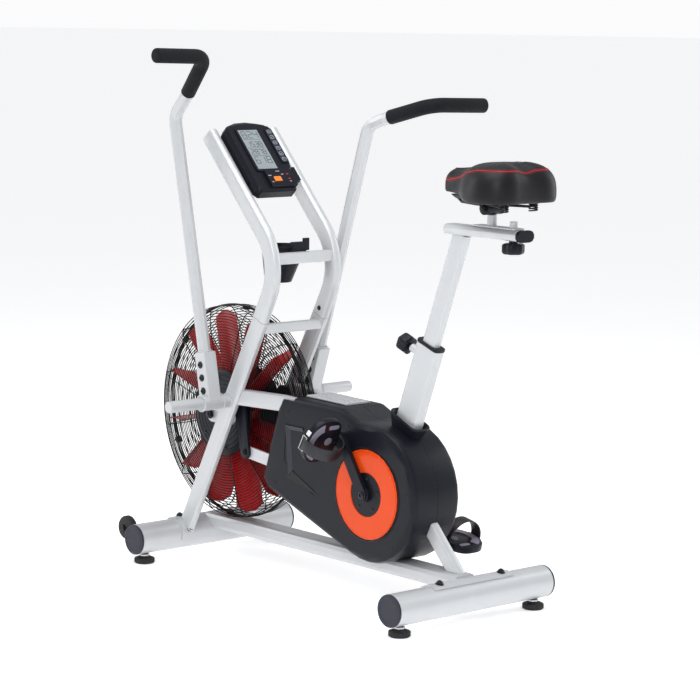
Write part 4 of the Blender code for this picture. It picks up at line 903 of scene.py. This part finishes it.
def build_console():
    """Bezel, figures, keys, marks and screws of the console."""
    place = console_frame()
    lcd = (-0.020, 0.128)
    bm = bmesh.new()
    outline_ring(bm, place, 0.076, 0.138, 0.007, 0.0068, lcd, -0.0005, 0.0030)
    outline_ring(bm, place, 0.0225, 0.110, 0.005, 0.0019, (0.046, 0.138), -0.0005, 0.0028)
    piece("console_bezel", bm, LOOKS["black_plastic"], "frame")
    top = place @ Matrix.Translation((0, 0, 0.0024))
    bm = bmesh.new()
    rows = ((0.046, 3, 0.0125, 0.0205, (0, 2, 4)), (0.016, 4, 0.0085, 0.0150, (1, 5, 3, 0)),
            (-0.008, 4, 0.0085, 0.0150, (2, 0, 7, 8)), (-0.034, 3, 0.0125, 0.0205, (6, 1, 0)))
    for offset, count, width, height, values in rows:
        for k, value in enumerate(values):
            x = lcd[0] + (k - (count - 1) / 2) * width * 1.45
            digit(bm, top, x, lcd[1] + offset, width, height, DIGITS[value])
    for offset in (0.031, 0.0042, -0.0200):
        slab(bm, rounded(0.056, 0.0006, 0.0002, (lcd[0], lcd[1] + offset), 2), 0.0, 0.0002, top)
    piece("console_segments", bm, EXTRA["ink"], "frame")
    bm = bmesh.new()
    for k in range(6):
        centre = (0.046, 0.094 + 0.0176 * k)
        outline_ring(bm, top, 0.0125, 0.0105, 0.0040, 0.0009, centre, 0.0, 0.0009)
        slab(bm, rounded(0.0050, 0.0014, 0.0006, centre, 2), 0.0, 0.0006, top)
    piece("console_keys", bm, EXTRA["mark"], "frame")
    bm = bmesh.new()
    ridge = []
    for k in range(25):
        u = -0.062 + 0.106 * k / 24
        v = 0.2065 + 0.0080 * (1 - ((u + 0.010) / 0.060) ** 2)
        ridge.append(place @ Vector((u, v - 0.004, -0.0028)))
    pipe(bm, ridge, 0.0030, 10)
    piece("console_ridge", bm, LOOKS["grey_plastic"], "frame")
    bm = bmesh.new()
    ledge = place @ Matrix.Translation((0, 0, 0.0090))
    for x, y, w, h in ((-0.034, 0.020, 0.006, 0.0022), (-0.034, 0.040, 0.010, 0.0022),
                       (0.006, 0.042, 0.008, 0.0020), (0.022, 0.020, 0.006, 0.0022),
                       (-0.004, 0.052, 0.012, 0.0020)):
        slab(bm, rounded(w, h, 0.0008, (x, y), 2), 0.0, 0.0004, ledge)
    piece("console_marks", bm, EXTRA["mark"], "frame")
    bm = bmesh.new()
    for x, y in ((0.022, 0.028), (0.022, 0.042)):
        slab(bm, rounded(0.007, 0.0022, 0.0008, (x, y), 2), 0.0, 0.0004, ledge)
    piece("console_red_marks", bm, EXTRA["print_red"], "frame")
    bm = bmesh.new()
    back = place @ Matrix.Diagonal((1, 1, -1, 1))
    for x, y in ((-0.066, 0.030), (-0.066, 0.180), (0.048, 0.180), (0.034, 0.022)):
        spot = back @ Vector((x, y, CONSOLE_DEPTH))
        screw(bm, spot, back.to_3x3() @ Vector((0, 0, 1)), 0.0032, 0.0022, False)
    piece("console_screws", bm, EXTRA["bolt"], "frame")


build_console()


# ---- handlebar grips ---------------------------------------------------------------------------
# bends of the bar as (forward, up, outward) from the handlebar's axis
GRIP_SPOTS = ((-0.042, 0.747, 0.160), (-0.164, 0.826, 0.181), (-0.178, 0.827, 0.340))
GRIP_START = 0.10          # share of the way from the first spot to the corner
GRIP_R = 0.0179
GRIP_BORE = 0.0164
GRIP_BEND = 0.045
GRIP_OVERRUN = 0.004       # how far the sleeve runs past the bar's end
GRIP_FLOOR = 0.0037        # thickness of the sleeve's closed end
GRIP_LIP = ((0.0, GRIP_BORE + 0.0004), (0.0006, GRIP_R - 0.0005), (0.0018, GRIP_R))
GRIP_DOME = ((0.0050, 1.0), (0.0030, 0.97), (0.0016, 0.88), (0.0006, 0.70), (0.0, 0.42))
GRIP_SIDES = 32
GRIP_BEND_STEPS = 8


def build_grips():
    """Foam sleeves: a bent hollow tube with a rounded lip and a domed, closed end."""
    for side, sign in SIDES.items():
        lean = ARM_LEANS[side]
        low, corner, high = (lean_point(PIVOT, forward, up, lean, sign * y) for forward, up, y in GRIP_SPOTS)
        start = low.lerp(corner, GRIP_START)
        into, out = (corner - start).normalized(), (high - corner).normalized()
        end = high + out * GRIP_OVERRUN
        level = into.cross(out).normalized()
        turn = into.angle(out)
        first = corner - into * GRIP_BEND * math.tan(turn / 2)
        centre = first + level.cross(into) * GRIP_BEND
        bend = []
        for k in range(GRIP_BEND_STEPS + 1):
            spin = Matrix.Rotation(turn * k / GRIP_BEND_STEPS, 3, level)
            bend.append((centre + spin @ (first - centre), spin @ into))
        stations = [(end - out * GRIP_FLOOR, out, GRIP_BORE)]
        stations += [(spot, run, GRIP_BORE) for spot, run in reversed(bend)]
        stations += [(start, into, GRIP_BORE)]
        stations += [(start + into * along, into, radius) for along, radius in GRIP_LIP]
        stations += [(spot, run, GRIP_R) for spot, run in bend]
        stations += [(end - out * along, out, GRIP_R * share) for along, share in GRIP_DOME]
        bm = bmesh.new()
        rings = []
        for spot, run, radius in stations:
            across = run.cross(level)
            rings.append([bm.verts.new(spot + radius * (math.cos(k * TAU / GRIP_SIDES) * level
                                                        + math.sin(k * TAU / GRIP_SIDES) * across))
                          for k in range(GRIP_SIDES)])
        bridge(bm, rings)
        cap(bm, rings)
        grip = piece(f"{side}_foam_sleeve", bm, LOOKS["foam"], f"{side}_arm", 60, (f"{side}_grip",))


build_grips()


# ---- fasteners ---------------------------------------------------------------------------------
ARM_Y = 0.160
LEVER = 0.132              # from the handlebar's axis down to the link rod's pin
STABILIZER_X, STABILIZER_Z = 0.473, 0.0626


def build_arm_bolts():
    """Bolts, welds and foot peg sleeve of each handlebar."""
    for side, sign in SIDES.items():
        lean = ARM_LEANS[side]
        bm = bmesh.new()
        for up in (0.030, 0.062, 0.094):
            for face in (1, -1):
                spot = lean_point(PIVOT, 0.0, up, lean, sign * ARM_Y + face * 0.0190)
                if face > 0:
                    screw(bm, spot, (0, face, 0), 0.0062, 0.0055)
                else:
                    nut(bm, spot, (0, face, 0), 0.0066, 0.0048)
        spot = lean_point(PIVOT, 0.0200, 0.014, lean, sign * ARM_Y)
        screw(bm, spot, (math.cos(lean), 0, -math.sin(lean)), 0.0052, 0.0040)
        piece(f"{side}_bracket_bolts", bm, EXTRA["bolt"], f"{side}_arm")
        bm = bmesh.new()
        for y, r in ((0.1300, 0.0194), (0.1902, 0.0190)):
            bead(bm, PIVOT + Vector((0, sign * y, 0)), (0, 1, 0), r, 0.0018, 40)
        top = lean_point(PIVOT, 0.0, 0.1262, lean, sign * ARM_Y)
        bead(bm, top, (math.sin(lean), 0, math.cos(lean)), 0.0168, 0.0018, 36)
        piece(f"{side}_arm_welds", bm, LOOKS["frame_paint"], f"{side}_arm")
        bm = bmesh.new()
        end = PIVOT + Vector((0, sign * 0.291, 0))
        lathe(bm, [(0.0141, -0.098), (0.0143, -0.006), (0.0141, -0.0022), (0.0120, -0.0004), (0, 0.0)],
              frame_at(end, (0, sign, 0)), 32)
        piece(f"{side}_peg_sleeve", bm, LOOKS["frame_paint"], f"{side}_arm")


def build_lever_covers():
    """Black moulded covers over the levers that work the link rods."""
    for side, sign in SIDES.items():
        end = lean_point(PIVOT, 0, -LEVER, ARM_LEANS[side])
        run = end - PIVOT
        heading = math.atan2(run.z, run.x)
        outline = []
        for centre, radius, start in ((end, 0.0164, heading - math.pi / 2),
                                      (PIVOT, 0.0224, heading + math.pi / 2)):
            for k in range(15):
                angle = start + math.pi * k / 14
                outline.append((centre.x + radius * math.cos(angle), centre.z + radius * math.sin(angle)))
        place = Matrix(((1, 0, 0, 0), (0, 0, sign, 0), (0, 1, 0, 0), (0, 0, 0, 1)))
        bm = bmesh.new()
        slab(bm, outline, 0.0670, 0.0735, place, 0.0006)
        piece(f"{side}_lever_cover", bm, LOOKS["black_plastic"], f"{side}_arm")


def bead(bm, centre, normal, radius, thick, steps):
    """A weld bead: a ring with small even ripples."""
    place = frame_at(centre, normal)
    ring = []
    for i in range(steps * 2):
        angle = i * TAU / (steps * 2)
        r = radius + 0.0003 * math.sin(angle * steps / 1.5)
        ring.append(place @ Vector((r * math.cos(angle), r * math.sin(angle), 0)))
    pipe(bm, ring, thick, 8, closed=True)


def build_frame_bolts():
    """Bolts on the frame, cradle nuts on the stabilizers and welds round the pivots."""
    bm = bmesh.new()
    for sign in SIDES.values():
        spot = Vector((0.1585 + MID_X, sign * 0.0830, 0.6570))
        screw(bm, spot, (0, -sign, 0), 0.0042, 0.0038)
    for end, turn in ((-STABILIZER_X, 1), (STABILIZER_X, -1)):
        for y in (-0.098, 0.098):
            for angle in (25, 98):
                a = math.radians(angle if turn > 0 else 180 - angle)
                out = Vector((math.cos(a), 0, math.sin(a)))
                spot = Vector((end + MID_X, y, STABILIZER_Z)) + out * 0.0423
                nut(bm, spot, out, 0.0078, 0.0062)
    piece("frame_bolts", bm, EXTRA["bolt"], "frame")
    bm = bmesh.new()
    for sign in SIDES.values():
        bead(bm, PIVOT + Vector((0, sign * 0.1092, 0)), (0, 1, 0), 0.0180, 0.0014, 40)
    piece("pivot_welds", bm, LOOKS["frame_paint"], "frame")


def build_link_pins():
    """The nut that holds each link rod to its lever."""
    for side, sign in SIDES.items():
        end = lean_point(PIVOT, 0, -LEVER, ARM_LEANS[side])
        bm = bmesh.new()
        nut(bm, Vector((end.x, sign * 0.0738, end.z)), (0, sign, 0), 0.0078, 0.0060)
        piece(f"{side}_link_nut", bm, EXTRA["bolt"], f"{side}_link_rod")


def build_wheel_hubs():
    """Hubs, tread grooves and nuts of the transport wheels."""
    for side, sign in SIDES.items():
        centre = Vector((0.548 + MID_X, sign * 0.210, 0.077))
        bm = bmesh.new()
        for face in (1, -1):
            place = frame_at(centre, (0, face, 0))
            lathe(bm, [(0.0052, 0.0100), (0.0052, 0.0125), (0.0095, 0.0125), (0.0105, 0.0108),
                       (0.0150, 0.0106), (0.0165, 0.0112), (0.0180, 0.0112), (0.0190, 0.0104)], place, 32)
        for offset in (-0.0042, 0.0, 0.0042):
            pipe(bm, ring_points(centre, 0.0292, 48, centre.y + offset), 0.0009, 6, closed=True)
        piece(f"{side}_wheel_hub", bm, EXTRA["rubber"], f"{side}_transport_wheel")
        bm = bmesh.new()
        nut(bm, centre + Vector((0, sign * 0.0115, 0)), (0, sign, 0), 0.0062, 0.0048)
        piece(f"{side}_wheel_nut", bm, EXTRA["bolt"], "frame")


def build_foot_details():
    """Ribs and nuts of the levelling feet, and the beads on the end caps above them."""
    for end, x in (("rear", -STABILIZER_X), ("front", STABILIZER_X)):
        for side, sign in SIDES.items():
            y = sign * 0.2135
            place = frame_at(Vector((x + MID_X, y, 0)), (0, 0, 1))
            bm = bmesh.new()
            for k in range(20):
                angle = k * TAU / 20
                out = Vector((math.cos(angle), math.sin(angle), 0))
                spot = Vector((x + MID_X, y, 0.0020)) + out * 0.0243
                pipe(bm, [spot, spot + Vector((0, 0, 0.0100))], 0.0014, 6)
            piece(f"{end}_{side}_foot_ribs", bm, EXTRA["rubber"], f"{end}_{side}_foot")
            bm = bmesh.new()
            lathe(bm, [(0.0092, 0.0188), (0.0130, 0.0188), (0.0130, 0.0222), (0.0118, 0.0232),
                       (0.0092, 0.0232)], place, 6)
            piece(f"{end}_{side}_foot_nut", bm, LOOKS["steel"], f"{end}_{side}_foot")
            bm = bmesh.new()
            centre = Vector((x + MID_X, sign * 0.2488, STABILIZER_Z))
            place = frame_at(centre, (0, sign, 0))
            lathe(bm, [(0.0300, -0.0006), (0.0300, 0.0002), (0.0292, 0.0006), (0.0284, 0.0002),
                       (0.0284, -0.0006)], place, 48)
            lathe(bm, [(0.0372, -0.0010), (0.0350, 0.0001), (0.0340, -0.0004)], place, 48)
            piece(f"{end}_{side}_cap_bead", bm, LOOKS["grey_plastic"], "frame")


build_arm_bolts()
build_lever_covers()
build_frame_bolts()
build_link_pins()
build_wheel_hubs()
build_foot_details()


# ---- floor, lights and camera ------------------------------------------------------------------
FLOOR_GLOW = 0.46
FLOOR_REACH = 90.0
FLOOR_DROP = 0.0002
DOME_R = 88.0
WORLD_STRENGTH = 0.52
LIGHT_TARGET = (0, 0, 0.6)


def build_floor():
    """A pale floor that glows a little, so that it meets the backdrop softly."""
    bm = bmesh.new()
    bm.faces.new([bm.verts.new((x * FLOOR_REACH, y * FLOOR_REACH, -FLOOR_DROP))
                  for x, y in ((-1, -1), (1, -1), (1, 1), (-1, 1))])
    mesh = bpy.data.meshes.new("floor")
    bm.to_mesh(mesh)
    bm.free()
    floor = bpy.data.objects.new("floor", mesh)
    bpy.context.scene.collection.objects.link(floor)
    surface = finish_material("studio_floor", (0.90, 0.90, 0.905), (0.88, 0.88, 0.885), 0.8, mottle=1.5,
                              grain=60.0, bump=0.02, gloss=0.1)
    shader = surface.node_tree.nodes["Principled BSDF"]
    shader.inputs["Emission Color"].default_value = (1, 1, 1, 1)
    shader.inputs["Emission Strength"].default_value = FLOOR_GLOW
    mesh.materials.append(surface)


def build_backdrop():
    """A pale dome round the studio, which only the camera sees."""
    bm = bmesh.new()
    bmesh.ops.create_uvsphere(bm, u_segments=48, v_segments=24, radius=DOME_R)
    mesh = bpy.data.meshes.new("backdrop")
    bm.to_mesh(mesh)
    bm.free()
    dome = bpy.data.objects.new("backdrop", mesh)
    bpy.context.scene.collection.objects.link(dome)
    surface = bpy.data.materials.new("backdrop_white")
    surface.use_nodes = True
    shader = surface.node_tree.nodes["Principled BSDF"]
    shader.inputs["Base Color"].default_value = (0, 0, 0, 1)
    shader.inputs["Specular IOR Level"].default_value = 0.0
    shader.inputs["Emission Color"].default_value = (0.97, 0.97, 0.98, 1)
    shader.inputs["Emission Strength"].default_value = 1.0
    mesh.materials.append(surface)
    dome.visible_diffuse = dome.visible_glossy = dome.visible_shadow = dome.visible_transmission = False


def area_light(name, place, size, power):
    """A soft box light at a place, aimed at the middle of the bike."""
    data = bpy.data.lights.new(name, "AREA")
    data.shape = "RECTANGLE"
    data.size, data.size_y = size
    data.energy = power
    lamp = bpy.data.objects.new(name, data)
    lamp.location = place
    lamp.rotation_mode = "QUATERNION"
    lamp.rotation_quaternion = (Vector(LIGHT_TARGET) - Vector(place)).to_track_quat("-Z", "Y")
    bpy.context.scene.collection.objects.link(lamp)


def build_studio():
    """Soft world light and four area lights."""
    world = bpy.data.worlds.new("studio")
    world.use_nodes = True
    background = world.node_tree.nodes["Background"]
    background.inputs["Color"].default_value = (0.97, 0.98, 1.0, 1)
    background.inputs["Strength"].default_value = WORLD_STRENGTH
    bpy.context.scene.world = world
    area_light("overhead", (-0.4, 0.6, 3.4), (2.6, 2.6), 62)
    area_light("key", (-2.6, 2.6, 2.4), (1.4, 2.0), 40)
    area_light("side", (-1.2, -3.2, 1.6), (0.9, 2.2), 22)
    area_light("front", (3.2, 1.6, 1.8), (1.2, 2.2), 24)


CAMERA_AT = Vector((-4.5607, 4.0223, 1.4277))
CAMERA_LENS, CAMERA_SENSOR, CAMERA_REACH = 131.46, 36, 200
YAW, PITCH, ROLL = (math.radians(a) for a in (-41.713, 7.957, 0.9125))


def build_camera():
    """The view, from its heading, its tilt down and its small roll."""
    ahead = Vector((math.cos(YAW) * math.cos(PITCH), math.sin(YAW) * math.cos(PITCH), -math.sin(PITCH)))
    right = ahead.cross(Vector((0, 0, 1))).normalized()
    above = right.cross(ahead)
    level = math.cos(ROLL) * right + math.sin(ROLL) * above
    upright = -math.sin(ROLL) * right + math.cos(ROLL) * above
    turn = Matrix((level, upright, -ahead)).transposed().to_4x4()
    turn.translation = CAMERA_AT
    data = bpy.data.cameras.new("camera")
    data.lens = CAMERA_LENS
    data.sensor_width = CAMERA_SENSOR
    data.clip_end = CAMERA_REACH
    camera = bpy.data.objects.new("camera", data)
    camera.matrix_world = turn
    bpy.context.scene.collection.objects.link(camera)
    bpy.context.scene.camera = camera


build_floor()
build_backdrop()
build_studio()
build_camera()
bpy.context.scene.view_settings.view_transform = "Standard"
